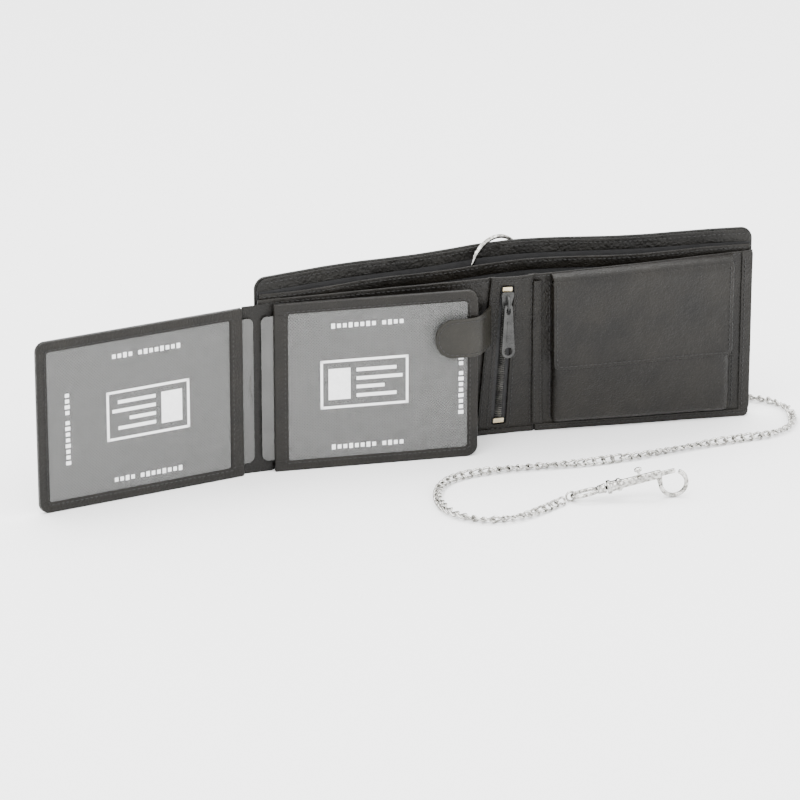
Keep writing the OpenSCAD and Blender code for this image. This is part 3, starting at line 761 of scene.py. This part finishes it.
# zip panel: a frame round the zip's slot
ZIP_U, ZIP_W, ZIP_Z = -1.5, 7.4, (5.5, 83.5)
slot_u = (ZIP_U - ZIP_W / 2, ZIP_U + ZIP_W / 2)
inner_loop = rounded_loop(slot_u, ZIP_Z, (1.2,) * 4, 22, 5)
outer_loop = rounded_loop((-12.6, 16.6), (0, PANEL_H), (0.3,) * 4, 22, 5)
cut = [(0, -1.1), (0, -0.35), (0.01, -0.12), (0.035, 0), (0.25, 0.0), (0.5, 0.0), (0.75, 0.0), (0.95, 0.0),
    (0.985, -0.1), (1, -0.4), (1, -1.1), (0.75, -1.2), (0.5, -1.2), (0.25, -1.2)]
piece("zip_panel_leather", *band(on_panel, inner_loop, outer_loop, cut), "inner_leather", blend=BEND_ZIP,
    replaces=("front_panel_spine",), sharp=40)
border = rounded_loop((slot_u[0] - 1.9, slot_u[1] + 1.9), (ZIP_Z[0] - 2.2, ZIP_Z[1] + 1.6), (1.5,) * 4, 24, 5)
border = np.vstack([border, border[:1]])
piece("zip_border_stitches", *stitches(on_panel, border, 0.0), "thread", blend=BEND_ZIP)
piece("hem_zip", *slab(on_panel, (-12.4, 16.4), (0.1, 3.0), (0.02, 0.6), 2.4, (0.3, 0.3, 0.4, 0.4)),
    "inner_leather", blend=BEND_ZIP)
edges = [stitches(on_panel, [(x, z) for z in np.linspace(4, PANEL_H - 2, 40)], 0.0) for x in (-11.2, 14.9)]
edges.append(stitches(on_panel, [(x, PANEL_H - 1.7) for x in np.linspace(-10.5, 14.5, 20)], 0.0))
piece("zip_panel_stitches", *joined(edges), "thread", blend=BEND_ZIP)

for side in (-1, 1):
    lo, hi = sorted((ZIP_U + side * 1.3, ZIP_U + side * 5.1))
    name = "zip_tape_" + NAME[side]
    piece(name + "_woven", *slab(on_panel, (lo, hi), (ZIP_Z[0] - 1, ZIP_Z[1] + 1), (-1.95, -1.45), 1.0,
        zstep=2.5), "zip_tape", blend=BEND_ZIP, replaces=(name,))
teeth = []
for k in range(62):
    z = ZIP_Z[0] + 2.6 + k * 1.2
    for side in (-1, 1):
        level = z + (0.6 if side > 0 else 0)
        t = np.linspace(0, 1, 6)
        across = ZIP_U + side * (1.75 - 2.3 * t)
        rise = -1.35 + 0.62 * np.sin(np.pi * np.clip(t * 1.15, 0, 1))
        teeth.append(tube(on_panel(across, level + 0 * t, rise), 0.34 * np.array([0.8, 1, 1, 1, 1.1, 0.7]),
            6))
piece("zip_coil_teeth", *joined(teeth), "zip_metal", blend=BEND_ZIP, replaces=("zip_coil",))
stops = []
for z in (ZIP_Z[0] + 0.9, ZIP_Z[1] - 3.4):
    stops.append(slab(on_panel, (ZIP_U - 2.7, ZIP_U + 2.7), (z, z + 2.6), (-0.75, 0.25), 0.7,
        (0.35, 0.35, 0.35, 0.35), (0.6,) * 4))
piece("zip_stops_brass", *joined(stops), "brass", blend=BEND_ZIP, replaces=("zip_stops",))
bag = slab(lambda u, z, d: on_panel(u, z,
    -2.3 - (0.6 + 3.4 * z / PANEL_H) * (0.5 - d) - 0.3 * np.sin(z * 0.25) * (0.5 - d)), (-9.0, 7.0),
    (4.5, 85.5), (-0.5, 0.5), 1.6, (1.6, 1.6, 1.6, 1.6), (2,) * 4)
piece("zip_pocket_bag_cloth", *bag, "lining_cloth", blend=BEND_ZIP, replaces=("zip_pocket_bag",))


def filled(u, z, d):
    """Between cover and panel: d is the share of the way across."""
    return spot(u, 1.45 + (panel_n(u, z) - 1.6) * d, z)


# hem along the foot
for side, lo, hi in ((-1, -END_U + 0.8, -13.2), (1, 17.4, END_U - 0.8)):
    name = "foot_welt_" + NAME[side]
    flat = FLAT_LEFT if side < 0 else FLAT_RIGHT
    piece(name + "_filler", *slab(filled, (lo, hi), (0.2, 3.0), (0, 1), 4, (0, 0, 0, 0.4)), "cover_leather",
        NAME[side] + "_half", (name,), squash=flat)
    piece("hem_" + NAME[side], *slab(on_panel, (lo, hi), (0.1, 3.9), (0.02, 0.75), 2.4, (0.3, 0.3, 0.4, 0.5),
        (0, 3 if side > 0 else 0, 0, 0)), "inner_leather", NAME[side] + "_half", squash=flat)
    route = [(x, 2.3) for x in np.linspace(lo + 1, hi - 1, 70)]
    piece("hem_stitches_" + NAME[side], *stitches(on_panel, route, 0.75), "thread", NAME[side] + "_half",
        squash=flat)
piece("foot_welt_spine_filler", *slab(filled, (-7, 7), (0.2, 3.0), (0, 1), 2), "cover_leather", "spine",
    ("foot_welt_spine",))

# ---------------------------------------------------------------- right half: slot strip, coin pocket

RIGHT = dict(body="right_half", squash=FLAT_RIGHT)
piece("slot_strip_leather", *slab(on_panel, (16.0, 21.2), (4.2, 84.5), (0.1, 1.0), 1.2, (0.5, 0.5, 0.4, 0.4),
    zstep=2.4), "inner_leather", replaces=("card_slot_strip",), **RIGHT)
rows = [stitches(on_panel, [(x, z) for z in np.linspace(5, 83.5, 40)], 1.0) for x in (17.2, 20.1)]
piece("slot_strip_stitches", *joined(rows), "thread", **RIGHT)
C0, C1, FZ0, FZ1 = 26.0, 119.5, 35.5, 84.6


def pouch(u, z, d):
    """Coin pocket front, sagging a little over what it holds."""
    belly = 0.5 * np.sin(np.pi * np.clip((u - C0) / (C1 - C0), 0, 1)) * np.sin(
        np.pi * np.clip((z - 4.5) / 78, 0, 1))
    return on_panel(u, z, d - 0.6 + belly * (d > 1))


piece("coin_pocket_leather", *slab(lambda u, z, d: pouch(u, z, d + 0.6), (C0, C1), (4.3, FZ1 - 2), (0.1, 4.4),
    2.4, (4.2, 4.2, 3.4, 0.6), (2.5, 2.5, 0, 0), flat_back=True), "inner_leather", replaces=("coin_pocket",),
    **RIGHT)
piece("coin_pocket_stitches", *stitches(on_panel, [(C0 - 0.9, 84), (C0 - 0.9, 6)], 0.05), "thread", **RIGHT)
rows = [stitches(on_panel, [(C1 + 1.6, z) for z in np.linspace(5, 84, 40)], 0.05)]
rows.append(stitches(on_panel, [(x, PANEL_H - 1.2) for x in np.linspace(18, END_U - 6, 60)], 0.05))
rows.append(stitches(on_panel, [(END_U - 4.4, z) for z in np.linspace(5, 84, 40)], 0.62))
binding = slab(on_panel, (END_U - 6.2, END_U - 0.35), (3.2, PANEL_H - 0.2), (0.02, 0.62), 1.2,
    (0.5, 0.5, 0.4, 0.5), (0, 3, 1.5, 0), zstep=2.4)
piece("right_edge_binding", *binding, "inner_leather", **RIGHT)
piece("right_border_stitches", *joined(rows), "thread", **RIGHT)


def flap_at(u, z, d):
    curl = 0.5 * ease((FZ0 + 14 - z) / 14) * np.sin(u * 0.05)
    roll = 1.2 * ease((z - FZ1 + 3.2) / 3.6) ** 1.6
    return on_panel(u, z, d - roll + curl * 0.6 - 0.2)


flap = slab(flap_at, (C0, C1), (FZ0, FZ1), (5.6, 6.7), 2.4, (0.55, 0.55, 0.55, 0), (3.5, 3.5, 0, 0),
    zstep=1.6)
piece("coin_flap_leather", *flap, "inner_leather", "coin_flap", ("coin_flap",), squash=FLAT_RIGHT)
route = [(C0 + 1.8, z) for z in np.linspace(FZ1 - 1, FZ0 + 4, 30)]
route += [(C0 + 1.8 + 2.2 * (1 - math.cos(a)), FZ0 + 1.8 + 2.2 * (1 - math.sin(a)))
    for a in np.linspace(0.1, 1.5, 6)]
route += [(x, FZ0 + 1.8) for x in np.linspace(C0 + 4.4, C1 - 4.4, 50)]
route += [(C1 - 1.8 - 2.2 * (1 - math.sin(a)), FZ0 + 1.8 + 2.2 * (1 - math.cos(a)))
    for a in np.linspace(0.1, 1.5, 6)]
route += [(C1 - 1.8, z) for z in np.linspace(FZ0 + 4, FZ1 - 1, 30)]
piece("coin_flap_stitches", *stitches(flap_at, route, 6.7), "thread", "coin_flap", squash=FLAT_RIGHT)


piece("coin_pocket_top_welt_leather", *slab(
    on_panel, (C0, C1), (FZ1 + 0.02, PANEL_H - 0.5), (0.1, 5.3), 2.4, (0.55, 0.55, 0, 2.6), flat_back=True,
    zstep=0.5), "inner_leather", replaces=("coin_pocket_top_welt",), **RIGHT)
snap_u, snap_z = (C0 + C1) / 2, FZ0 + 8


def disc(at, u, z, r, d):
    radii = np.array([0.02, 0.45, 0.8, 1.0, 1.0, 0.8, 0.02]) * r
    depth = np.array([1, 1, 0.92, 0.7, 0, 0, 0]) * (d[1] - d[0]) + d[0]
    angle = np.arange(28) * 2 * np.pi / 28
    sections = np.array([at(u + q * np.cos(angle), z + q * np.sin(angle), np.full(28, e)) for q,
        e in zip(radii, depth)])
    faces = [[i * 28 + k, i * 28 + (k + 1) % 28, (i + 1) * 28 + (k + 1) % 28, (i + 1) * 28 + k]
        for i in range(6) for k in range(28)]
    return sections.reshape(-1, 3), faces + [list(range(27, -1, -1)), [6 * 28 + k for k in range(28)]]


piece("coin_snap_stud_metal", *disc(on_panel, snap_u, snap_z, 4.5, (4.5, 4.95)), "nickel",
    replaces=("coin_snap_stud",), **RIGHT)
piece("coin_snap_cap_metal", *disc(on_panel, snap_u, snap_z, 5.0, (5.05, 5.45)), "dark_metal", "coin_flap",
    ("coin_snap_cap",), squash=FLAT_RIGHT)

# ---------------------------------------------------------------- slider and puller

SLIDER_Z, PULLER_L = 75.5, 26.0
here = on_panel(np.array([ZIP_U]), np.array([SLIDER_Z]), np.array([-0.6]))[0]
above = on_panel(np.array([ZIP_U]), np.array([SLIDER_Z + 1]), np.array([-0.6]))[0]
tilt = math.atan2(here[1] - above[1], 1)
SLIDER = Matrix.Translation(Vector(here) * MM) @ Matrix.Rotation(tilt, 4, "X")
body_line = [(-2.2, -5), (2.2, -5), (2.5, -2.2), (3.4, 3.2), (3.0, 4.6), (1.6, 5.0), (-1.6, 5.0), (-3.0, 4.6),
    (-3.4, 3.2), (-2.5, -2.2)]
mesh_piece("zip_slider_body", plate("zip_slider_body", [body_line], (-1.9, -0.5), 0.45), "dark_metal",
    "zip_slider", ("zip_slider",), SLIDER)
bridge = tube([(0, -1.6, 2.6), (0, -2.9, 2.2), (0, -4.0, 0.2), (0, -4.35, -2.0), (0, -4.2, -3.6),
    (0, -3.4, -4.3), (0, -1.7, -4.4)], [0.75, 0.7, 0.62, 0.6, 0.6, 0.65, 0.75], 10)
piece("zip_slider_bridge", *bridge, "dark_metal", "zip_slider", matrix=SLIDER)
pin = SLIDER @ Vector((0, -3.2 * MM, -2.8 * MM))
PULLER = Matrix.Translation(pin)
foot = PULLER_L - 3.5
outline = [(-1.9, 1.2), (-2.2, 0.2), (-2.3, -3)] + [
    (3.5 * math.cos(a), -foot + 3.5 * math.sin(a)) for a in np.radians(np.linspace(176, 364, 22))] + [
    (2.3, -3), (2.2, 0.2), (1.9, 1.2), (1.2, 1.6), (-1.2, 1.6)]
eye = [(1.1 * math.cos(a), -1.6 + (1.6 if math.sin(a) > 0 else 1.9) * math.sin(a))
    for a in np.linspace(0, 2 * math.pi, 24, endpoint=False)]
ridge = [(-0.75, -7), (0.75, -7), (1.0, -17.5), (-1.0, -17.5)]
puller_mesh = plate("zip_puller_plate", [outline, circle(0, -foot, 2.05, 30), eye], (-1.15, -0.15), 0.3)
mesh_piece("zip_puller_plate", puller_mesh, "dark_metal", "zip_puller", ("zip_puller",), PULLER)
mesh_piece("zip_puller_ridge", plate("zip_puller_ridge", [ridge], (-1.4, -0.9), 0.2), "dark_metal",
    "zip_puller", (), PULLER)

# ---------------------------------------------------------------- latch tab


def smooth_line(points, parts):
    points = np.asarray(points, float)
    last = len(points) - 1
    slopes = np.array([(points[min(i + 1, last)] - points[max(i - 1, 0)]) / 2 for i in range(last + 1)])
    out = []
    for i in range(last):
        for k in range(parts):
            t = k / parts
            out.append((2 * t ** 3 - 3 * t ** 2 + 1) * points[i] + (t ** 3 - 2 * t ** 2 + t) * slopes[i]
                + (3 * t ** 2 - 2 * t ** 3) * points[i + 1] + (t ** 3 - t ** 2) * slopes[i + 1])
    return np.array(out + [points[-1]])


TAB = smooth_line([[-10.5, -21.8], [-15, -28], [-19.8, -34.2], [-26, -36.3], [-34, -35.7], [-43, -34.4]], 10)
TAB_S = np.concatenate([[0], np.cumsum(np.linalg.norm(np.diff(TAB, axis=0), axis=1))])
TAB_STEP = np.gradient(TAB, axis=0)
TAB_STEP /= np.linalg.norm(TAB_STEP, axis=1)[:, None]
TAB_Z = (53.0, 73.0)


def on_tab(s, z, d):
    x, y = np.interp(s, TAB_S, TAB[:, 0]), np.interp(s, TAB_S, TAB[:, 1])
    dx, dy = np.interp(s, TAB_S, TAB_STEP[:, 0]), np.interp(s, TAB_S, TAB_STEP[:, 1])
    return np.stack(np.broadcast_arrays(x - dy * d, y + dx * d, z), -1)


TAB_L = TAB_S[-1]
piece("latch_tab_leather", *slab(on_tab, (0, TAB_L), TAB_Z, (-0.7, 0.7), 1.2, (0, 0.6, 0.6, 0.6),
    (0, 9.4, 9.4, 0)), "tab_leather", "latch_tab", ("latch_tab",))
route = [(s, TAB_Z[0] + 1.7) for s in np.linspace(9, TAB_L - 9.5, 14)]
route += [(TAB_L - 10 + 8.3 * math.cos(a), (TAB_Z[0] + TAB_Z[1]) / 2 + 8.3 * math.sin(a))
    for a in np.radians(np.linspace(-86, 86, 20))]
route += [(s, TAB_Z[1] - 1.7) for s in np.linspace(TAB_L - 9.5, 9, 14)]
piece("latch_tab_stitches", *stitches(on_tab, route, 0.7), "thread", "latch_tab")
cap = lathe([(-0.6, 0.02), (-0.6, 3.4), (-0.5, 4.4), (-0.2, 4.95), (0.3, 4.9), (0.5, 4.2), (0.6, 2.2),
    (0.3, 1.9), (0.3, 0.02)], 40)
low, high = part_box("tab_snap_socket")
middle = (low + high) / 2
SOCKET = Matrix.Translation(middle) @ Matrix.Rotation(radians(90 - 6.4), 4, "Z")
piece("tab_snap_socket_metal", *cap, "dark_metal", "latch_tab", ("tab_snap_socket",), SOCKET)

# ---------------------------------------------------------------- card window leaves

HINGE = (-130.0, -23.4)
HINGE_DIR = (math.cos(radians(1.5)), math.sin(radians(1.5)))
RIGHT_LEAF = spun((HINGE[0] + 8 * HINGE_DIR[0], HINGE[1] + 8 * HINGE_DIR[1], 0), -5)
LEFT_LEAF = spun((HINGE[0] - 8 * HINGE_DIR[0], HINGE[1] - 8 * HINGE_DIR[1], 0), 10.6)


CARD_W, CARD_H, CARD_OUT = 105, 74, 6
BORDER = 5.2


def leaf(side, width, matrix, body, prefix):
    """One window leaf in its own frame; side is -1 for the leaf that points left."""
    def flat(u, z, d):
        """d is depth along y in the leaf's frame"""
        sag = 0.25 * np.sin(u * 0.06 + 1) * np.sin(np.pi * np.clip(z / LEAF_H, 0, 1))
        return np.stack(np.broadcast_arrays(side * u, d + sag * 0.6, z), -1)

    back = slab(flat, (0.2, width), (0, LEAF_H), (0.5, 1.25), 3, (0.4, 0.5, 0.5, 0.5), (0, 5, 5, 0))
    piece(prefix + "_back_leather", *back, "cover_leather", body, (prefix + "_back",), matrix)
    inner = rounded_loop((7.0, width - BORDER), (BORDER, LEAF_H - BORDER), (1.6, 1.2, 1.2, 1.6), 34, 13)
    outer = rounded_loop((0.0, width), (0.0, LEAF_H), (5.5, 0.8, 0.8, 5.5), 34, 13)
    closed = np.clip((outer[:, 0] - 1.0) / 3.0, 0, 1)
    rim = -0.72 + 1.12 * closed
    about = [np.hypot(outer[:, 0] - (width - 5.5), outer[:, 1] - z) for z in (5.5, LEAF_H - 5.5)]
    fans = np.clip(1.5 - np.minimum(*about) / 6.5, 0, 1)
    run = np.concatenate([[0], np.cumsum(np.linalg.norm(np.diff(outer, axis=0), axis=1))])

    def pleats(share, spots):
        fold = 0.28 * fans * np.sin(run * 3.4) * math.sin(
            math.pi * min(share * 1.15, 1)) if 0.02 < share < 0.99 else 0
        return fold + 0.05 * np.sin(run * 0.7)

    section = [(0, -0.74), (0.0, -1.05), (0.05, -1.3), (0.14, -1.42), (0.3, -1.36), (0.5, -1.34), (0.7, -1.4),
        (0.86, -1.46), (0.95, -1.3), (1.0, -0.95)]
    section += [(1.0, rim * 0.5), (1.0, rim), (0.82, rim), (0.80, -0.76), (0.4, -0.76)]
    piece(prefix + "_border_leather", *band(flat, inner, outer, section, pleats), "inner_leather", body,
        (prefix + "_frame",), matrix, sharp=60)
    line = inner + (outer - inner) * 0.22
    keep = np.vstack([line, line[:1]])
    piece(prefix + "_border_stitches", *stitches(flat_out(flat), keep, 1.36), "thread", body, (), matrix)
    piece(prefix + "_strip", *slab(flat, (0.4, 6.4), (5.5, LEAF_H - 5.5), (-1.62, -1.3), 0.8,
        (0.5, 0.7, 0.3, 0.3), zstep=3), "inner_leather", body, (), matrix)
    piece(prefix + "_net", *slab(flat, (5.0, width - 3), (3, LEAF_H - 3), (-0.72, -0.58), 4), "window_mesh",
        body, (prefix + "_mesh",), matrix)
    low = (LEAF_H - CARD_H) / 2
    end = CARD_W - CARD_OUT
    card = slab(flat, (-CARD_OUT, end), (low, low + CARD_H), (-0.25, 0.3), 3, (0.25, 0.25, 0.25, 0.25),
        (3, 3, 3, 3))
    own = "right_insert_card" if side > 0 else "left_insert_card"
    piece(own + "_film", *card, "clear_card", body, (own,), matrix)
    # thin bright edge of the film, and the paper that lies in it
    ring_in = rounded_loop((0.4 - CARD_OUT, end - 0.4), (low + 0.4, low + CARD_H - 0.4), (2.7,) * 4, 20, 7)
    ring_out = rounded_loop((-CARD_OUT - 0.05, end + 0.05), (low - 0.05, low + CARD_H + 0.05), (3.05,) * 4,
        20, 7)
    piece(own + "_edge", *band(flat, ring_in, ring_out, [(0, -0.3), (1, -0.3), (1, 0.32), (0, 0.32)]),
        "clear_card", body, (), matrix)
    marks = []
    text_rows(marks, 47 if side > 0 else 52, 73.0, False)
    text_rows(marks, 47 if side > 0 else 52, 10.5, False)
    text_rows(marks, 93.5, 41, True)
    pictogram(marks, 45 if side > 0 else 51, 43)
    piece(own + "_print", *joined([(np.stack([side * p[:, 0], p[:, 1], p[:, 2]], -1), f) for p, f in marks]),
        "card_print", body, (), matrix)


def flat_out(flat):
    return lambda u, z, d: flat(u, z, -np.asarray(d, float))


def text_rows(marks, x, z, upright):
    """A row of eight small blocks and a row of four, in place of lettering."""
    start = -(12 * 2.9 + 2.2) / 2
    for k in range(12):
        a = start + k * 2.9 + (2.2 if k > 7 else 0)
        tall = 2.1 if k % 3 else 2.6
        if upright:
            marks.append(box_part((x - tall / 2, x + tall / 2), (-0.92, -0.76), (z + a, z + a + 1.9)))
        else:
            marks.append(box_part((x + a, x + a + 1.9), (-0.92, -0.76), (z - tall / 2, z + tall / 2)))


def pictogram(marks, x, z):
    """A plain card symbol: outline, portrait field and lines."""
    y = (-0.92, -0.76)
    w, h, t = 22.0, 12.5, 1.3
    for box in (((x - w, x + w), (z - h, z - h + t)), ((x - w, x + w), (z + h - t, z + h)),
        ((x - w, x - w + t), (z - h, z + h)), ((x + w - t, x + w), (z - h, z + h))):
        marks.append(box_part(box[0], y, box[1]))
    marks.append(box_part((x - w + 4, x - w + 15), y, (z - 8, z + 8)))
    for k, length in enumerate((20, 23, 14, 20)):
        top = z + 7.6 - k * 4.4
        marks.append(box_part((x - w + 18, x - w + 18 + length), y, (top - 1.8, top)))


leaf(1, 102.0, RIGHT_LEAF, "right_leaf", "right_leaf")
leaf(-1, 109.0, LEFT_LEAF, "left_leaf", "left_leaf")
stud = lathe([(0, 0.02), (0, 4.9), (0.35, 5.0), (0.7, 4.6), (0.75, 2.0), (1.5, 1.75), (1.85, 1.95),
    (2.0, 1.5), (2.0, 0.02)], 40)
STUD = LEFT_LEAF @ Matrix.Translation(Vector((-97.0, 1.27, 63.0)) * MM) @ Matrix.Rotation(radians(90), 4, "Z")
piece("leaf_snap_stud_metal", *stud, "dark_metal", "left_leaf", ("leaf_snap_stud",), STUD)
STRIP = spun((HINGE[0], HINGE[1], 0), 1.5)
strip = slab(lambda u, z, d: np.stack(np.broadcast_arrays(u, d, z), -1), (-7.4, 7.4), (0, LEAF_H), (1.5, 2.1),
    1.8, (0, 0, 0.3, 0.3), zstep=4)
piece("flap_hinge_leather", *strip, "cover_leather", "flap_strip", ("flap_hinge",), STRIP)
low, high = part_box("flap_edge_welt")
piece("flap_edge_binding", *slab(lambda u, z, d: np.stack(np.broadcast_arrays(u, d, z), -1),
    (low.x / MM, high.x / MM), (low.z / MM, high.z / MM), (low.y / MM, high.y / MM), 0.5,
    (0.5, 0.5, 0.4, 0.4), zstep=3), "inner_leather", "left_half", ("flap_edge_welt",))

# ---------------------------------------------------------------- eyelet, ring, chain, hook

rim = [(-1.45, 7.0), (-1.45, 8.7), (-1.35, 9.1), (-1.0, 9.2), (-0.95, 7.7), (0.55, 7.7), (0.6, 9.2),
    (0.95, 9.1), (1.05, 8.7), (1.05, 7.1), (0.8, 6.8), (-1.2, 6.8)]
sections = np.array([[[r * math.cos(a), -x, EYE_Z + r * math.sin(a)] for x, r in rim]
    for a in np.arange(48) * 2 * math.pi / 48])
piece("eyelet_metal", *sweep_closed(sections), "nickel", "spine", ("eyelet",))
turns = np.linspace(0.12, 4 * math.pi - 0.12, 260)
offset = 0.47 * np.tanh((turns - 2 * math.pi) * 2.2)
shape = [(math.copysign(abs(math.cos(a)) ** 0.75, math.cos(a)),
    math.copysign(abs(math.sin(a)) ** 0.75, math.sin(a))) for a in np.arange(10) * 2 * math.pi / 10]
ring = np.array([[[(RING_R + 0.95 * p) * math.cos(t), o + 0.44 * q, (RING_R + 0.95 * p) * math.sin(t)] for p,
    q in shape] for t, o in zip(turns, offset)])
points = ring.reshape(-1, 3)
n = len(shape)
faces = [[i * n + k, i * n + (k + 1) % n, (i + 1) * n + (k + 1) % n, (i + 1) * n + k]
    for i in range(len(turns) - 1) for k in range(n)]
faces += [list(range(n - 1, -1, -1)), [(len(turns) - 1) * n + k for k in range(n)]]
RING = Matrix.Translation((0, 0, RING_Z * MM)) @ Matrix.Rotation(RING_TURN, 4, "Z") @ Matrix.Rotation(
    radians(200), 4, "Y")
piece("split_ring_wire", points, faces, "nickel", "key_ring", ("split_ring",), RING)

CZ = 2.0
ROUTE = [[10.6, 5.2, 70.8], [10.6, 6.4, 58], [11, 8, 42], [11.5, 9.5, 24], [14, 11, 11], [22, 11.5, 4.2],
         [34, 11.5, CZ], [52, 10.5, CZ], [72, 9.5, CZ], [92, 8.8, CZ], [112, 7.5, CZ], [128, 4.5, CZ], [
             141, -4, CZ],
         [149, -17, CZ], [148, -32, CZ], [141, -46, CZ], [128, -54, CZ], [110, -56, CZ], [88, -58, CZ], [
             60, -62, CZ],
         [32, -64, CZ], [5, -62, CZ], [-20, -60, CZ], [-40, -63, CZ], [-53, -73, CZ], [-60, -90, CZ], [
             -59, -108, CZ],
         [-48, -121, CZ], [-32, -123, CZ], [-16, -117, CZ], [-5.5, -110.8, CZ], [-2.6, -109.2, CZ]]
LINE = smooth_line(ROUTE, 14)
LENGTH = np.concatenate([[0], np.cumsum(np.linalg.norm(np.diff(LINE, axis=0), axis=1))])
TOTAL = float(LENGTH[-1])


def on_line(s):
    if s < 0:
        return LINE[0] + (LINE[0] - LINE[1]) / np.linalg.norm(LINE[0] - LINE[1]) * -s
    if s > TOTAL:
        return LINE[-1] + (LINE[-1] - LINE[-2]) / np.linalg.norm(LINE[-1] - LINE[-2]) * (s - TOTAL)
    return np.array([np.interp(s, LENGTH, LINE[:, k]) for k in range(3)])


def link(s, roll):
    """One oval link, twisted a little as curb links are."""
    wire, half_l, half_w = 0.56, 3.0, 1.8
    a, b = on_line(s - 2), on_line(s + 2)
    ahead = (b - a) / np.linalg.norm(b - a)
    across = np.cross([0.02, 0.01, 1.0] if abs(ahead[2]) < 0.8 else [0, 1.0, 0], ahead)
    across /= np.linalg.norm(across)
    up = np.cross(ahead, across)
    side = across * math.cos(roll) + up * math.sin(roll)
    third = np.cross(ahead, side)
    points = []
    for t in np.arange(22) * 2 * math.pi / 22:
        lengthwise = math.copysign(abs(math.cos(t)) ** 0.8, math.cos(t)) * half_l
        sideways = math.copysign(abs(math.sin(t)) ** 0.8, math.sin(t)) * half_w
        points.append(on_line(s) + ahead * lengthwise + side * sideways + third * 0.85 * math.sin(2 * t))
    return tube(points, wire, 8, True)


PITCH = 4.85
count = int((TOTAL + 3.4) / PITCH)
starts = [-2.0 + PITCH * k for k in range(count + 1)]
rolls = [radians(38) * math.sin(k * 0.41) + rng.normal(0, 0.16) for k in range(len(starts))]
TOP_LINKS = 6
top = [link(s, r) for s, r in zip(starts[:TOP_LINKS], rolls)]
rest_links = [link(s, r) for s, r in list(zip(starts, rolls))[TOP_LINKS:]]
top_chain = piece("chain_top_links", *joined(top), "nickel",
    blend=("key_ring", "spine", (0.0106, 0.0052, 0.072), (0.0110, 0.0078, 0.045)),
    replaces=("chain_ring_end",), weld=False)
main_chain = piece("chain_links", *joined(rest_links), "nickel",
    blend=("spine", "chain_end", (0.149, -0.010, 0), (0.149, -0.040, 0)), replaces=("chain_hook_end",),
    weld=False)

HOOK_AT = (1.5, -107.5, 2.7)
HOOK = spun(HOOK_AT, -11) @ Matrix.Rotation(radians(-12.5), 4, "Y")
JUMP = spun(HOOK_AT, -7)
angles = np.arange(36) * 2 * math.pi / 36
jump = piece("jump_ring_wire", *tube([(2.35 * math.cos(a) - 0.3, 0, 2.35 * math.sin(a) + 0.1)
    for a in angles], 0.5, 12, True), "nickel", "chain_end", ("jump_ring",), JUMP)
oval = []
for a in np.arange(56) * 2 * math.pi / 56:
    oval.append((6.35 + 0.4 + (3.1 + 2.65) * math.copysign(abs(math.cos(a)) ** 0.8, math.cos(a)) * 1.13,
        3.1 * math.copysign(abs(math.sin(a)) ** 0.82, math.sin(a)), 0))
eye_parts = [tube(oval, 0.9, 12, True),
    lathe([(12.7, 0.02), (12.7, 1.5), (13.1, 2.0), (15.6, 2.2), (16.4, 2.5), (16.9, 2.2), (17.0, 0.9),
    (26.0, 0.9), (26.0, 1.3), (26.85, 1.3), (26.9, 0.02)], 32)]
swivel = piece("hook_swivel_eye_metal", *joined(eye_parts), "nickel", "chain_end", ("hook_swivel_eye",), HOOK,
    weld=False)
barrel = [(17.5, 1.0), (17.5, 2.9), (17.8, 3.35), (19.2, 3.4), (19.6, 2.9), (20.1, 2.55), (22.3, 2.55),
    (22.7, 2.9), (23.0, 3.15), (24.2, 3.15), (24.6, 2.7), (25.0, 2.25), (26.0, 2.1), (43.6, 2.1),
    (44.3, 1.95), (44.6, 1.6), (44.6, 1.3), (26.2, 1.3), (26.2, 1.0)]
sections = np.array([[[x, r * math.cos(a), r * math.sin(a)] for x, r in barrel]
    for a in np.arange(48) * 2 * math.pi / 48])
loop = [(49.5 + 6.3 * math.cos(a), 0, -6.1 + 6.3 * math.sin(a))
    for a in np.radians(np.linspace(414, 176, 44))]
neck = [(43.2, 0, -1.0), (43.2, 0, -3.0), (43.2, 0, -5.2)]
hook_parts = [sweep_closed(sections), tube(loop, [1.15] * 8 + [1.05] * 36, 12),
    tube(neck, [1.5, 1.3, 1.1], 14)]
hook = piece("hook_body_metal", *joined(hook_parts), "nickel", "hook", ("hook_body",), HOOK, weld=False)
knob = lathe([(4.2, 0.02), (4.2, 1.5), (4.45, 1.85), (5.0, 1.95), (5.6, 1.75), (5.95, 1.2), (6.05, 0.02)], 32)
knob = (np.stack([34 + knob[0][:, 2], knob[0][:, 1] * 0.8, knob[0][:, 0]], -1), knob[1])
bolt_parts = [lathe([(33.2, 0.02), (33.2, 1.0), (33.4, 1.18), (50.9, 1.18), (51.4, 0.9), (51.5, 0.02)], 28),
    tube([(34, 0, 0.5), (34, 0, 2.5), (34, 0, 4.4)], 0.6, 12), knob]
bolt = piece("hook_bolt_metal", *joined(bolt_parts), "nickel", "hook_bolt", ("hook_bolt",), HOOK, weld=False)
coil = [(27.6 + 5.3 * t, 0.92 * math.cos(t * 14 * math.pi), 0.92 * math.sin(t * 14 * math.pi))
    for t in np.linspace(0, 1, 130)]
spring_axis = HOOK.to_3x3() @ Vector((1, 0, 0))
spring = piece("hook_spring_wire", *tube(coil, 0.2, 6), "nickel", "hook", ("hook_spring",), HOOK,
    squash=("bolt_slide", tuple(spring_axis), tuple(HOOK @ Vector((0.0275, 0, 0))), 0.2), weld=False)
cord_line = [tuple(on_line(s) * MM) for s in np.arange(starts[TOP_LINKS] - 3.2, starts[-1] + 3.6, 1.5)]
